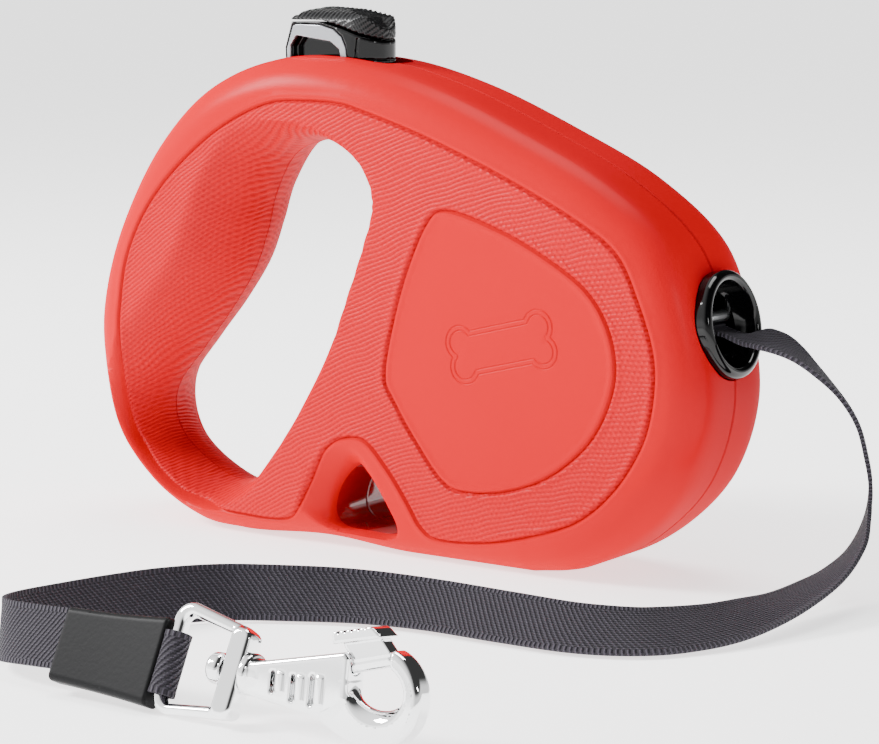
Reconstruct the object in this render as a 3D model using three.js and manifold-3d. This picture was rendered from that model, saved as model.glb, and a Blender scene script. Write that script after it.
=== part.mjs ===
// Retractable tape leash standing on its base. Millimetres, +Z up, nozzle towards +X.
import * as THREE from 'three';
import { mergeVertices } from 'three/addons/utils/BufferGeometryUtils.js';
import Module from 'manifold-3d';

const wasm = await Module();
wasm.setup();

// ---- driving dimensions ------------------------------------------------------------
const HALF = 20;              // half the housing's thickness
const BAND = 9.5;             // half width of the rim's flat band
const SHOULDER = 10.5;        // radius from the band to the side face
const WALL = 2.6;
const SEAM = 0.15;            // each half stops this far from the parting plane
const GAP = 0.3;              // clearance between neighbouring parts
const LIP = 1.6;              // power of the curve at a hole's lip; 2 is a quarter ellipse
const LOWER_STRAIGHT = 13;    // the lower hole's walls are straight up to this height

const SPOOL = { x: 38, z: 54, rim: 44, root: 41.5, hub: 14, teeth: 24 };
const TAPE = { width: 13, thick: 1, roll: 39.5 };
const NOZZLE = { x: 90.3, z: 63.2, tilt: 11 };
const GUIDE = { x: 84.2, z: 64.2, r: 1.5 };
const BUTTON = { rear: -36, nose: -15.6, half: 7.5, low: 115.9 };
const PRESS = 3.2;            // brake travel, downwards
const SCREWS = [[-62, 90], [-28, 10], [73.5, 18.5], [20, 106], [15.5, 8.5]];

// Outline at the parting plane, anticlockwise from the front of the base.
const OUTLINE = [
  [44, 0], [58, 2.6], [73, 11], [86, 25], [92, 44], [89.5, 63], [82, 81.5], [64, 96],
  [41, 107], [15, 117.2], [-10, 123.2], [-34, 123.4], [-55.9, 115.8], [-72.7, 101],
  [-85.5, 81], [-92.5, 62], [-93.8, 45], [-88.8, 23], [-76, 9], [-60, 1.2], [-46, 0],
];
const ARCH = { from: -46, to: 8, rise: 1.5 };   // shallow hollow in the base

// Hand hole and lower hole at their waist: x, z and how far the mouth flares outwards.
const HAND_HOLE = [
  [-27, 102.4, 6], [-38.2, 98.4, 9], [-44.8, 88, 12], [-47.8, 78, 14], [-52.5, 67, 14],
  [-60.5, 55.9, 14], [-70, 45, 14], [-79.6, 33, 13], [-78.5, 22.4, 12], [-69, 14.5, 10],
  [-57.5, 10.4, 8], [-45.5, 14.5, 6.5], [-36, 23.3, 5], [-27, 35, 4.5], [-17, 51, 4],
  [-10.6, 66.5, 4], [-5.8, 79, 4], [-3.2, 88.5, 4], [-6.4, 96, 4], [-15.5, 100.8, 5],
];
const LOWER_HOLE = [
  [-8, 21.5, 6], [-13.8, 16, 8], [-16, 9, 8], [-13, 5.2, 5], [-5, 4.6, 2], [3, 4.8, 2],
  [6, 7, 2.5], [3, 12.5, 2.5], [-3, 19, 4],
];
const BADGE = [
  [22, 21], [30, 19.3], [42, 21.2], [54, 26.5], [65, 36.5], [70.6, 49.5], [69.5, 61],
  [63, 71], [50, 79], [36, 84.8], [22.5, 88], [16.5, 84], [10, 70], [5.6, 55],
  [4.2, 45.5], [6.5, 40.5], [13.5, 30.5],
];

// Free tape: centre line x, y, z, then the way its lower edge points.
const ROUTE = [
  [86, 0, 61.4, 0.1, -1, 0], [92, 0, 60.8, 0.3, -1, 0.1], [99, 0, 60.6, 0.6, -1, -0.25],
  [106, 0, 58.5, 0.7, -1, -0.3], [112, 1, 54.5, 0.7, -1, -0.2],
  [117, 4, 48.5, 0.6, -0.9, 0], [120, 8, 41, 0.57, -0.81, 0.12],
  [121.6, 10, 33, 0.57, -0.81, 0.15], [122.3, 11, 26, 0.55, -0.82, 0.18],
  [122.2, 10, 20, 0.58, -0.75, 0.3], [121.9, 6, 14.5, 0.66, -0.55, 0.42],
  [121.7, -1, 10.7, 0.8, -0.3, 0.42], [121.5, -12, 7.8, 0.92, -0.15, 0.2],
  [120.5, -24, 5.9, 0.95, -0.12, 0], [118.8, -36, 5, 0.9, -0.2, -0.25],
  [116.2, -47.8, 4.5, 0.8, -0.3, -0.43], [111.7, -57.8, 4.5, 0.65, -0.5, -0.55],
  [105.2, -66.3, 4.75, 0.45, -0.65, -0.61], [93.2, -72.1, 5.05, 0.13, -0.75, -0.66],
  [76.2, -73.6, 5.35, 0, -0.72, -0.7], [56.2, -74.3, 5.6, 0, -0.68, -0.73],
  [39.2, -78.3, 5.95, 0, -0.6, -0.82], [25.2, -85.8, 6.25, 0, -0.5, -0.88],
  [13.2, -93.8, 6.4, 0.05, -0.45, -0.92], [5, -104.8, 6.5, 0.15, -0.4, -0.95],
  [0.3, -117.8, 6.6, 0.3, -0.25, -1], [-2.3, -130.8, 6.8, 0.3, -0.1, -1],
  [-3, -143, 7.3, 0.15, 0, -1], [-0.5, -151, 8, 0, -0.1, -1],
  [5, -155.6, 8.8, 0, -0.3, -1], [13, -157.6, 9.6, 0, -0.45, -0.93],
  [24.3, -158.4, 10.35, 0, -0.454, -0.891],
];

// Ring frame: u runs along the leash, s up the leaning plane that the ring lies in.
const FITTING = { x: 72.6, y: -158, z: 11.15, lean: 27 };
const SLEEVE = { from: -48, to: -21.75, s: -2.2, tall: [15.6, 18.4], thick: 5 };
const LOOP = { u: -19.8, s: -2, outer: 2.8, hole: 2.05 };
const RING = { thick: 3.2, barThick: 5.2 };
const RING_OUTER = [[-21.3, -12.2], [-0.6, -10.7], [-0.6, 7.4], [-21.3, 12]];
const RING_WINDOW = [[-18.35, -9.9], [-5.4, -8.6], [-5.4, 5.9], [-18.35, 8.5]];
const RING_BAR = [[-5.4, -9.4], [-0.6, -9.1], [-0.6, 5.8], [-5.4, 6.4]];

// Hook frame: the same u, and s up from the swivel's axis in a steeper plane.
const SWIVEL = { s: -1, lean: 9, post: 1.6, head: 3.2, collar: 4.2 };
const HOOK = { thick: 6, eyeThick: 5.2 };
const HOOK_BODY = [
  [1.2, -3.7], [17.5, -5.3], [21.6, -5.4], [25.6, -1.3], [25.6, 6.9], [24.6, 7.9], [1.2, 2.6],
];
const HOOK_WEB = [
  [17, -4.6], [19.2, -6.1], [22.6, -7.7], [26.5, -8.9], [31, -9.3], [31, -3], [24, -1],
];
const EYE = { u: 32.3, s: 0.3, r: 9.8, holeU: 32, holeS: 2.3, ru: 6.1, rs: 4.4, tip: 34.9 };
const GATE = { u: 25.8, s: 5.45, rise: 16, r: 1.5, back: -4, tip: 8.7, bore: -20.5 };
const GATE_STEM = [[-1.5, 3.9], [0.2, 0.6], [8.8, 0.6], [9, 1.3], [7.2, 4.6], [-1.5, 4.9]];
const GATE_TAB = [[-3.05, 4.6], [7.15, 4.2], [8.4, 4.3], [6.5, 6.6], [-2.8, 6.9]];
const GATE_SPRING = { r: 1.1, wire: 0.3, length: 15.4 };

// ---- materials ---------------------------------------------------------------------
const plastic = (color, roughness) =>
  new THREE.MeshStandardMaterial({ color, roughness, metalness: 0 });
const metal = (color, roughness) =>
  new THREE.MeshStandardMaterial({ color, roughness, metalness: 1 });
const RED = plastic(0xd8161f, 0.42);
const BLACK_GLOSS = plastic(0x0b0b0c, 0.15);
const BLACK_MATT = plastic(0x1c1d1d, 0.6);
const SILVER = plastic(0xb4b6b8, 0.35);
const GREY = plastic(0x55585b, 0.5);
const WEBBING = plastic(0x35333a, 0.85);
const STEEL = metal(0xa8abae, 0.3);
const CHROME = metal(0xe6e8ea, 0.08);

// ---- geometry helpers --------------------------------------------------------------
const rad = (degrees) => (degrees * Math.PI) / 180;
const vec2 = (pairs) => pairs.map(([x, y]) => new THREE.Vector2(x, y));

function toManifold(geometry) {
  const bare = geometry.clone();
  bare.deleteAttribute('normal');
  bare.deleteAttribute('uv');
  const merged = mergeVertices(bare, 1e-4);
  const solid = new wasm.Manifold(new wasm.Mesh({
    numProp: 3,
    vertProperties: merged.attributes.position.array,
    triVerts: merged.index.array,
  }));
  return solid;
}

function toGeometry(solid) {
  const mesh = solid.simplify(0.02).getMesh();
  const geometry = new THREE.BufferGeometry();
  geometry.setAttribute('position', new THREE.BufferAttribute(mesh.vertProperties, 3));
  geometry.setIndex(new THREE.BufferAttribute(mesh.triVerts, 1));
  geometry.computeVertexNormals();
  return geometry;
}

// Closed spline through the rows of a table; a third column is carried along.
function smoothLoop(rows, count) {
  const points = rows.map(([x, z, flare = 0]) => new THREE.Vector3(x, z, flare));
  const curve = new THREE.CatmullRomCurve3(points, true, 'catmullrom', 0.5);
  return Array.from({ length: count }, (_, i) => curve.getPoint(i / count));
}

// Moves every point of an anticlockwise loop outwards by its own distance.
function offsetLoop(loop, distance) {
  return loop.map((p, i) => {
    const a = loop.at(i - 1);
    const b = loop[(i + 1) % loop.length];
    const t = new THREE.Vector2(b.x - a.x, b.y - a.y).normalize();
    const d = typeof distance === 'function' ? distance(p) : distance;
    return new THREE.Vector2(p.x + t.y * d, p.y - t.x * d);
  });
}

// Solid through a stack of [y, loop] levels, with flat ends.
function loft(stack) {
  const clockwise = THREE.ShapeUtils.isClockWise(stack[0][1]);
  const levels = stack.map(([y, loop]) => [y, clockwise ? loop.toReversed() : loop]);
  const n = levels[0][1].length;
  const position = levels.flatMap(([y, loop]) => loop.flatMap((p) => [p.x, y, p.y]));
  const index = [];
  for (let k = 0; k + 1 < levels.length; k += 1) {
    for (let i = 0; i < n; i += 1) {
      const j = (i + 1) % n;
      const a = k * n;
      index.push(a + i, a + j, a + n + j, a + i, a + n + j, a + n + i);
    }
  }
  const top = (levels.length - 1) * n;
  for (const [a, b, c] of THREE.ShapeUtils.triangulateShape(levels[0][1], [])) {
    index.push(a, c, b);
  }
  for (const [a, b, c] of THREE.ShapeUtils.triangulateShape(levels.at(-1)[1], [])) {
    index.push(top + a, top + b, top + c);
  }
  const geometry = new THREE.BufferGeometry();
  geometry.setAttribute('position', new THREE.Float32BufferAttribute(position, 3));
  geometry.setIndex(faceOut(position, index));
  return geometry;
}

// Turns a closed triangle list inside out when it encloses a negative volume.
function faceOut(position, index) {
  const at = (i) => new THREE.Vector3().fromArray(position, 3 * i);
  let volume = 0;
  for (let i = 0; i < index.length; i += 3) {
    volume += at(index[i]).dot(at(index[i + 1]).cross(at(index[i + 2])));
  }
  return volume > 0 ? index : index.toReversed();
}

// Prism between two y levels from a loop of x, z points.
function slab(loop, y0, y1) {
  return loft([[y0, loop], [y1, loop]]);
}

function rod(r, x, z, y0, y1, sides = 24) {
  const geometry = new THREE.CylinderGeometry(r, r, y1 - y0, sides);
  geometry.translate(x, (y0 + y1) / 2, z);
  return geometry;
}

function box(x0, x1, y0, y1, z0, z1) {
  const geometry = new THREE.BoxGeometry(x1 - x0, y1 - y0, z1 - z0);
  geometry.translate((x0 + x1) / 2, (y0 + y1) / 2, (z0 + z1) / 2);
  return geometry;
}

const add = (...parts) => wasm.Manifold.union(parts.map(toManifold));
const cutAway = (solid, ...parts) => solid.subtract(add(...parts));

function node(name, geometry, material, parent) {
  const mesh = new THREE.Mesh(geometry, material);
  mesh.name = name;
  parent.add(mesh);
  return mesh;
}

// Lathe about +Y of a closed profile of radius, height points.
function turned(profile, segments = 32) {
  const points = vec2([...profile, profile[0]]);
  const geometry = new THREE.LatheGeometry(points, segments);
  const merged = mergeVertices(bareOf(geometry), 1e-4);
  const index = faceOut(merged.attributes.position.array, Array.from(merged.index.array));
  merged.setIndex(index);
  merged.computeVertexNormals();
  return merged;
}

function bareOf(geometry) {
  geometry.deleteAttribute('normal');
  geometry.deleteAttribute('uv');
  return geometry;
}

// ---- housing -----------------------------------------------------------------------
function housingLoop() {
  const points = OUTLINE.map(([x, z]) => new THREE.Vector3(x, z, 0));
  const curve = new THREE.CatmullRomCurve3(points, false, 'catmullrom', 0.5);
  const round = curve.getPoints(64).map((p) => new THREE.Vector2(p.x, p.y));
  const under = [];
  for (let i = 1; i <= 6; i += 1) {
    const t = i / 6;
    const x = ARCH.from + (ARCH.to - ARCH.from) * t;
    under.push(new THREE.Vector2(x, ARCH.rise * Math.sin(Math.PI * t) ** 2));
  }
  return [...round, ...under];
}

// How much of its flare a hole has opened by at height y.
function flareAt(y, straight) {
  const t = Math.min(1, Math.max(0, (y - straight) / (HALF - straight)));
  return 1 - (1 - t ** LIP) ** (1 / LIP);
}

// Levels of the body between the parting plane and the side, at some wall depth.
function bodyLevels(loop, inset, start) {
  const r = SHOULDER - inset;
  const levels = [[start, offsetLoop(loop, -inset)], [BAND, offsetLoop(loop, -inset)]];
  for (const a of [30, 60, 90]) {
    const depth = SHOULDER - r * Math.cos(rad(a));
    levels.push([BAND + r * Math.sin(rad(a)), offsetLoop(loop, -depth)]);
  }
  return levels;
}

// Solid that fills a flared hole, made thicker by some margin.
function holeLevels(rows, count, margin, straight = 0) {
  const loop = smoothLoop(rows, count);
  const heights = [0.3, 0.55, 0.76, 0.92, 1].map((t) => straight + t * (HALF - straight));
  const levels = [-1, straight, ...heights].map((y) => [
    y, offsetLoop(loop, (p) => p.z * flareAt(y, straight) + margin),
  ]);
  levels.push([HALF + 1, levels.at(-1)[1]]);
  return levels;
}

// Both halves are drawn on the +Y side; the right one is mirrored afterwards.
function housingHalf(side) {
  const loop = housingLoop();
  const outer = toManifold(loft(bodyLevels(loop, 0, SEAM)));
  const inner = toManifold(loft(bodyLevels(loop, WALL, 0)))
    .subtract(toManifold(loft(holeLevels(HAND_HOLE, 44, WALL))))
    .subtract(toManifold(loft(holeLevels(LOWER_HOLE, 20, WALL, LOWER_STRAIGHT))));
  const shelf = box(-38, -8, SEAM, HALF, 104.4, 106.4);
  const posts = SCREWS.map(([x, z]) => rod(side > 0 ? 4.4 : 3.8, x, z, SEAM, HALF, 20));
  const axle = side > 0 ? rod(5.5, SPOOL.x, SPOOL.z, 9.9, 18) : rod(6.5, SPOOL.x, SPOOL.z, 9.2, 18);
  let half = outer.subtract(inner).add(add(shelf, axle, ...posts).intersect(outer));
  half = half
    .subtract(toManifold(loft(holeLevels(HAND_HOLE, 52, 0))))
    .subtract(toManifold(loft(holeLevels(LOWER_HOLE, 27, 0, LOWER_STRAIGHT))));
  half = cutAway(half, rod(3.3, SPOOL.x, SPOOL.z, 0, 17.4), ...screwHoles(side));
  half = cutAway(half, ...seats(), slab(badgeLoop(GAP), HALF - 1.7, HALF + 1));
  return side > 0 ? half : half.mirror([0, 1, 0]);
}

function screwHoles(side) {
  if (side < 0) return SCREWS.map(([x, z]) => rod(1.5, x, z, 0, 11, 16));
  return SCREWS.flatMap(([x, z]) => [
    rod(1.5, x, z, 0, 12, 16), rod(3.3, x, z, 10.4, HALF + 1, 20),
  ]);
}

// Slot for the button, and the nozzle's stepped seat.
function seats() {
  const slot = [[-37.3, -1], [-37.3, 8.2], [-8.5, 8.2], [-6, 7], [-4.8, 4.5], [-4.8, -1]];
  const shape = new THREE.Shape(vec2(slot));
  const cut = new THREE.ExtrudeGeometry(shape, { depth: 16, bevelEnabled: false });
  cut.translate(0, 0, 115);
  const wide = new THREE.CylinderGeometry(13.3, 13.3, 12.3, 40);
  wide.translate(0, 3.85, 0);
  const neck = new THREE.CylinderGeometry(11.2, 11.2, 16, 40);
  neck.translate(0, -9, 0);
  return [cut, alongNozzle(wide), alongNozzle(neck)];
}

// Brings a piece drawn about +Y onto the nozzle's axis.
function alongNozzle(geometry) {
  geometry.rotateZ(-Math.PI / 2);
  geometry.rotateY(-rad(NOZZLE.tilt));
  geometry.translate(NOZZLE.x, 0, NOZZLE.z);
  return geometry;
}

const badgeLoop = (margin) => offsetLoop(smoothLoop(BADGE, 51), margin);

// ---- spool -------------------------------------------------------------------------
function ratchetFlange() {
  const points = [];
  for (let i = 0; i < SPOOL.teeth; i += 1) {
    for (const [part, r] of [[0, SPOOL.root], [0.62, SPOOL.rim], [0.86, SPOOL.rim]]) {
      const a = ((i + part) / SPOOL.teeth) * 2 * Math.PI;
      points.push(new THREE.Vector2(r * Math.cos(a), r * Math.sin(a)));
    }
  }
  return slab(points, -8.2, -7);
}

function spoolDrum() {
  const hub = turned([
    [3.4, -8.2], [SPOOL.hub, -8.2], [SPOOL.hub, 8.3], [11.8, 8.3], [11.8, -6.4],
    [5.6, -6.4], [5.6, 6], [3.4, 6],
  ]);
  const bore = rod(13, 0, 0, -9, 0, 32);
  return cutAway(toManifold(ratchetFlange()), bore).add(toManifold(hub));
}

function spiralSpring() {
  const [turns, steps, from, to] = [4.5, 90, 7.2, 28.6];
  const outer = [];
  const inner = [];
  for (let i = 0; i <= steps; i += 1) {
    const a = (i / steps) * turns * 2 * Math.PI;
    const r = from + ((to - from) * i) / steps;
    outer.push(new THREE.Vector2((r + 0.45) * Math.cos(a), (r + 0.45) * Math.sin(a)));
    inner.push(new THREE.Vector2((r - 0.45) * Math.cos(a), (r - 0.45) * Math.sin(a)));
  }
  return slab([...outer, ...inner.reverse()], 11.4, 16.2);
}

function buildSpool(root) {
  const spool = new THREE.Group();
  spool.position.set(SPOOL.x, 0, SPOOL.z);
  root.add(spool);
  const ring = (r0, r1, y0, y1, n) => turned([[r0, y0], [r1, y0], [r1, y1], [r0, y1]], n);
  node('spool_drum', toGeometry(spoolDrum()), GREY, spool);
  node('spool_flange', ring(SPOOL.hub + GAP, SPOOL.rim, 7.1, 8.3, 56), GREY, spool);
  node('tape_roll', ring(SPOOL.hub + GAP, TAPE.roll, -6.5, 6.5, 56), WEBBING, spool);
  const cup = [[6.3, 9], [31.5, 9], [31.5, 16.6], [30, 16.6], [30, 10.4], [6.3, 10.4]];
  node('spring_cup', turned(cup, 48), GREY, spool);
  node('power_spring', spiralSpring(), STEEL, spool);
  node('axle_pin', rod(3, SPOOL.x, SPOOL.z, -17, 17), STEEL, root);
}

// ---- tape inside, guide and nozzle -------------------------------------------------
// Tape from the roll's rim, under the guide pin, to the start of the free length.
function tapeFeed() {
  const bend = GUIDE.r + GAP + TAPE.thick / 2;
  const roll = TAPE.roll + GAP + TAPE.thick / 2;
  const centre = [];
  for (const a of [52, 47, 42, 38]) {
    centre.push([SPOOL.x + roll * Math.cos(rad(a)), SPOOL.z + roll * Math.sin(rad(a))]);
  }
  for (const a of [218, 235, 252, 270]) {
    centre.push([GUIDE.x + bend * Math.cos(rad(a)), GUIDE.z + bend * Math.sin(rad(a))]);
  }
  centre.push([85.6, GUIDE.z - bend]);
  const half = TAPE.thick / 2;
  const sideOf = (sign) => centre.map(([x, z], i) => {
    const a = centre[Math.max(i - 1, 0)];
    const b = centre[Math.min(i + 1, centre.length - 1)];
    const t = new THREE.Vector2(b[0] - a[0], b[1] - a[1]).normalize();
    return new THREE.Vector2(x - sign * half * t.y, z + sign * half * t.x);
  });
  return slab([...sideOf(1), ...sideOf(-1).reverse()], -TAPE.width / 2, TAPE.width / 2);
}

function nozzleRing() {
  const profile = [
    [13, -2], [13, 0.2], [12.4, 1.3], [11.3, 1.9], [10.5, 1.6], [10.1, 0.8], [9.4, -0.8],
    [9.2, -2.4], [8.4, -3.2], [8.4, -9], [10.9, -9], [10.9, -2],
  ];
  const ring = toManifold(alongNozzle(turned(profile, 40)));
  return toGeometry(cutAway(ring, rod(GUIDE.r + GAP, GUIDE.x, GUIDE.z, -12, 12, 16)));
}

// ---- brake -------------------------------------------------------------------------
function sector(r0, r1, a0, a1) {
  const arc = (r, from, to) => Array.from({ length: 5 }, (_, i) => {
    const a = rad(from + ((to - from) * i) / 4);
    return new THREE.Vector2(SPOOL.x + r * Math.cos(a), SPOOL.z + r * Math.sin(a));
  });
  return [...arc(r1, a0, a1), ...arc(r0, a1, a0)];
}

function brakeCarrier() {
  const arm = vec2([
    [-16, 111], [-6, 110.5], [-1.5, 107], [2, 96], [2.4, 92.2], [8.6, 97.4], [13.5, 101],
    [11.5, 110.5], [3, 114.6], [-16, 115.4],
  ]);
  return add(
    box(-34, -12, -6.5, 6.5, 112, 115.4),
    box(-16, -10, -10.4, 6.5, 112, 115.4),
    slab(arm, -10.4, -6.8),
  );
}

// Top view of the button: straight sides and a half-round front.
function buttonPlan(half) {
  const points = [new THREE.Vector2(BUTTON.rear, half), new THREE.Vector2(BUTTON.rear, -half)];
  for (let i = 0; i <= 14; i += 1) {
    const a = rad(-90 + (180 * i) / 14);
    points.push(new THREE.Vector2(BUTTON.nose + half * Math.cos(a), half * Math.sin(a)));
  }
  return new THREE.Shape(points);
}

function buttonBlock() {
  const options = { depth: 25, bevelEnabled: false };
  const block = new THREE.ExtrudeGeometry(buttonPlan(BUTTON.half), options);
  block.translate(0, 0, 114);
  return toManifold(block);
}

const FRAME_OUTER = [
  [-35.2, 117], [-35.4, 125.7], [-33.4, 131.4], [-32.4, 131.9], [-24.6, 131.7],
  [-20.5, 130.6], [-18, 128.8], [-16.8, 126.4], [-15.6, 117],
];
const FRAME_INNER = [
  [-34.1, 117], [-34.2, 126.4], [-32.3, 129], [-21.5, 127.6], [-18.7, 125.6], [-17.3, 117],
];

function frameLoop() {
  return vec2([...FRAME_OUTER, ...FRAME_INNER.toReversed()]).reverse();
}

function brakeButton() {
  const side = vec2([
    [-35.7, BUTTON.low], [-8, BUTTON.low], [-8, 127.6], [-18, 130.9], [-24.6, 132.5],
    [-33.9, 132.5], [-36, 126],
  ]);
  const body = buttonBlock().intersect(toManifold(slab(side, -9, 9)));
  const pocket = offsetLoop(vec2(FRAME_OUTER).reverse(), GAP);
  const deep = offsetLoop(vec2(FRAME_INNER).reverse(), 0);
  return toGeometry(cutAway(
    body, slab(pocket, 6.3, 9), slab(pocket, -9, -6.3), slab(deep, 4.5, 9), slab(deep, -9, -4.5),
  ));
}

function buttonCap() {
  const side = vec2([
    [-34.2, 132.9], [-24.6, 132.9], [-18, 131.3], [-8, 128], [-8.3, 130.8], [-11, 133.9],
    [-17.6, 135.7], [-26.2, 136.4], [-31.5, 135.3], [-34.2, 133.6],
  ]);
  const crown = [
    [-7.5, 110], [7.5, 110], [7.5, 133], [6.6, 134.6], [4, 135.9], [0, 136.5], [-4, 135.9],
    [-6.6, 134.6], [-7.5, 133],
  ];
  const options = { depth: 40, bevelEnabled: false };
  const across = new THREE.ExtrudeGeometry(new THREE.Shape(vec2(crown)), options);
  across.rotateX(Math.PI / 2);
  across.rotateZ(Math.PI / 2);
  across.translate(-40, 0, 0);
  return toGeometry(
    buttonBlock().intersect(toManifold(slab(side, -9, 9))).intersect(toManifold(across)),
  );
}

function coil(x, y, z, r, wire, height, turns, steps) {
  class Helix extends THREE.Curve {
    getPoint(t) {
      const a = t * turns * 2 * Math.PI;
      return new THREE.Vector3(x + r * Math.cos(a), y + r * Math.sin(a), z + t * height);
    }
  }
  const section = new THREE.Shape();
  section.absarc(0, 0, wire, 0, 2 * Math.PI);
  const options = { steps, extrudePath: new Helix(), curveSegments: 3, bevelEnabled: false };
  return new THREE.ExtrudeGeometry(section, options);
}

function buildBrake(root) {
  node('brake_carrier', toGeometry(brakeCarrier()), BLACK_MATT, root);
  node('brake_shoe', slab(sector(46.9, 50.9, 125.5, 133), -10.4, -6.8), GREY, root);
  node('return_spring', coil(-24, 0, 107, 4, 0.45, 4.4, 3, 42), STEEL, root);
  node('brake_button', brakeButton(), BLACK_GLOSS, root);
  node('button_cap', buttonCap(), BLACK_MATT, root);
  node('button_frame_right', slab(frameLoop(), -7.5, -6.6), SILVER, root);
  node('button_frame_left', slab(frameLoop(), 6.6, 7.5), SILVER, root);
}

// ---- free tape ---------------------------------------------------------------------
// Centre line whose frames follow the table's edge directions, so that the tape twists.
class TapeCurve extends THREE.CatmullRomCurve3 {
  constructor(rows) {
    const at = (row, k) => new THREE.Vector3(row[k], row[k + 1], row[k + 2]);
    super(rows.map((row) => at(row, 0)), false, 'catmullrom', 0.5);
    const edges = rows.map((row) => at(row, 3));
    this.edges = new THREE.CatmullRomCurve3(edges, false, 'catmullrom', 0.5);
  }

  computeFrenetFrames(segments) {
    const frames = { tangents: [], normals: [], binormals: [] };
    for (let i = 0; i <= segments; i += 1) {
      const t = this.getUtoTmapping(i / segments);
      const tangent = this.getTangent(t);
      const edge = this.edges.getPoint(t);
      edge.addScaledVector(tangent, -edge.dot(tangent)).normalize();
      frames.tangents.push(tangent);
      frames.normals.push(edge);
      frames.binormals.push(new THREE.Vector3().crossVectors(tangent, edge));
    }
    return frames;
  }
}

function freeTape() {
  const [w, t] = [TAPE.width / 2, TAPE.thick / 2];
  const section = new THREE.Shape(vec2([
    [w, 0.2 - t], [w, t - 0.2], [w - 0.3, t], [0.3 - w, t], [-w, t - 0.2], [-w, 0.2 - t],
    [0.3 - w, -t], [w - 0.3, -t],
  ]));
  const options = { steps: 72, extrudePath: new TapeCurve(ROUTE), bevelEnabled: false };
  return new THREE.ExtrudeGeometry(section, options);
}

// ---- sleeve, ring and hook ---------------------------------------------------------
// Corners of a loop replaced by short arcs.
function rounded(corners, radius, count = 4) {
  const shape = new THREE.Path();
  corners.forEach(([x, y], i) => {
    const p = new THREE.Vector2(x, y);
    const before = new THREE.Vector2(...corners.at(i - 1)).sub(p).setLength(radius).add(p);
    const after = new THREE.Vector2(...corners[(i + 1) % corners.length]);
    after.sub(p).setLength(radius).add(p);
    if (i === 0) shape.moveTo(before.x, before.y);
    else shape.lineTo(before.x, before.y);
    shape.quadraticCurveTo(p.x, p.y, after.x, after.y);
  });
  shape.closePath();
  return shape.getPoints(count).slice(0, -1);
}

// Plate in the fitting's plane, centred on it, with an optional chamfer.
function plate(outline, holes, thick, chamfer = 0) {
  const shape = new THREE.Shape(outline);
  shape.holes = holes.map((hole) => new THREE.Path(hole));
  const geometry = new THREE.ExtrudeGeometry(shape, {
    depth: thick - 2 * chamfer, bevelEnabled: chamfer > 0, bevelSegments: 1,
    bevelSize: chamfer, bevelThickness: chamfer, bevelOffset: -chamfer,
  });
  geometry.translate(0, 0, chamfer - thick / 2);
  geometry.rotateX(Math.PI / 2);
  return geometry;
}

function sleeve() {
  const section = (tall) => rounded([
    [-SLEEVE.thick / 2, -tall / 2], [SLEEVE.thick / 2, -tall / 2],
    [SLEEVE.thick / 2, tall / 2], [-SLEEVE.thick / 2, tall / 2],
  ], 1.6, 3);
  const geometry = loft([
    [SLEEVE.from, section(SLEEVE.tall[0])], [SLEEVE.to, section(SLEEVE.tall[1])],
  ]);
  geometry.rotateZ(-Math.PI / 2);
  geometry.translate(0, 0, SLEEVE.s);
  return geometry;
}

// Tape turned round the ring's bar, open where its two layers go into the sleeve.
function tapeLoop() {
  const reach = LOOP.u - SLEEVE.to - GAP;
  const arc = (r, sign) => {
    const end = Math.PI - Math.acos(reach / r);
    return Array.from({ length: 13 }, (_, i) => {
      const a = sign * end * (i / 6 - 1);
      return [LOOP.u + r * Math.cos(a), r * Math.sin(a)];
    });
  };
  const shape = new THREE.Shape(vec2([...arc(LOOP.outer, 1), ...arc(LOOP.hole, -1)]));
  const geometry = new THREE.ExtrudeGeometry(shape, { depth: TAPE.width, bevelEnabled: false });
  geometry.translate(0, 0, LOOP.s - TAPE.width / 2);
  return geometry;
}

// Cylinder along u at some height.
function rodAlong(r, u0, u1, s = 0, sides = 28) {
  const geometry = new THREE.CylinderGeometry(r, r, u1 - u0, sides);
  geometry.rotateZ(-Math.PI / 2);
  geometry.translate((u0 + u1) / 2, 0, s);
  return geometry;
}

function ring() {
  const frame = plate(rounded(RING_OUTER, 4), [rounded(RING_WINDOW, 1.2)], RING.thick, 0.8);
  const bar = plate(rounded(RING_BAR, 1.2, 2), [], RING.barThick, 0.7);
  const bore = rodAlong(SWIVEL.post + GAP, -9, 0, SWIVEL.s, 20);
  return toGeometry(cutAway(add(frame, bar), bore));
}

// Turned piece along u; its profile of radius and height starts and ends on the axis.
function turnedAlong(profile, segments) {
  const geometry = bareOf(new THREE.LatheGeometry(vec2(profile), segments));
  geometry.rotateZ(-Math.PI / 2);
  const merged = mergeVertices(geometry, 1e-4);
  const flat = Array.from(merged.index.array);
  merged.setIndex(faceOut(merged.attributes.position.array, dropThin(flat)));
  merged.computeVertexNormals();
  return merged;
}

function swivelRivet() {
  return turnedAlong([
    [0, -9.1], [1.8, -9], [2.9, -8.1], [SWIVEL.head, -6.9], [2.9, -5.8], [SWIVEL.post, -5.7],
    [SWIVEL.post, -0.5], [0, -0.5],
  ], 20);
}

// Leaves out the triangles that have no area at the ends of a lathe.
function dropThin(index) {
  const kept = [];
  for (let i = 0; i < index.length; i += 3) {
    const [a, b, c] = index.slice(i, i + 3);
    if (a !== b && b !== c && c !== a) kept.push(a, b, c);
  }
  return kept;
}

// Brings a piece drawn along +X at the origin onto the gate's slanted line.
function alongGate(geometry) {
  geometry.rotateY(-rad(GATE.rise));
  geometry.translate(GATE.u, 0, GATE.s);
  return geometry;
}

const gateRod = (r, from, to) => alongGate(rodAlong(r, from, to, 0, 20));

function oval(u, s, ru, rs, count) {
  return Array.from({ length: count }, (_, i) => {
    const a = (2 * Math.PI * i) / count;
    return new THREE.Vector2(u + ru * Math.cos(a), s + rs * Math.sin(a));
  });
}

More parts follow.
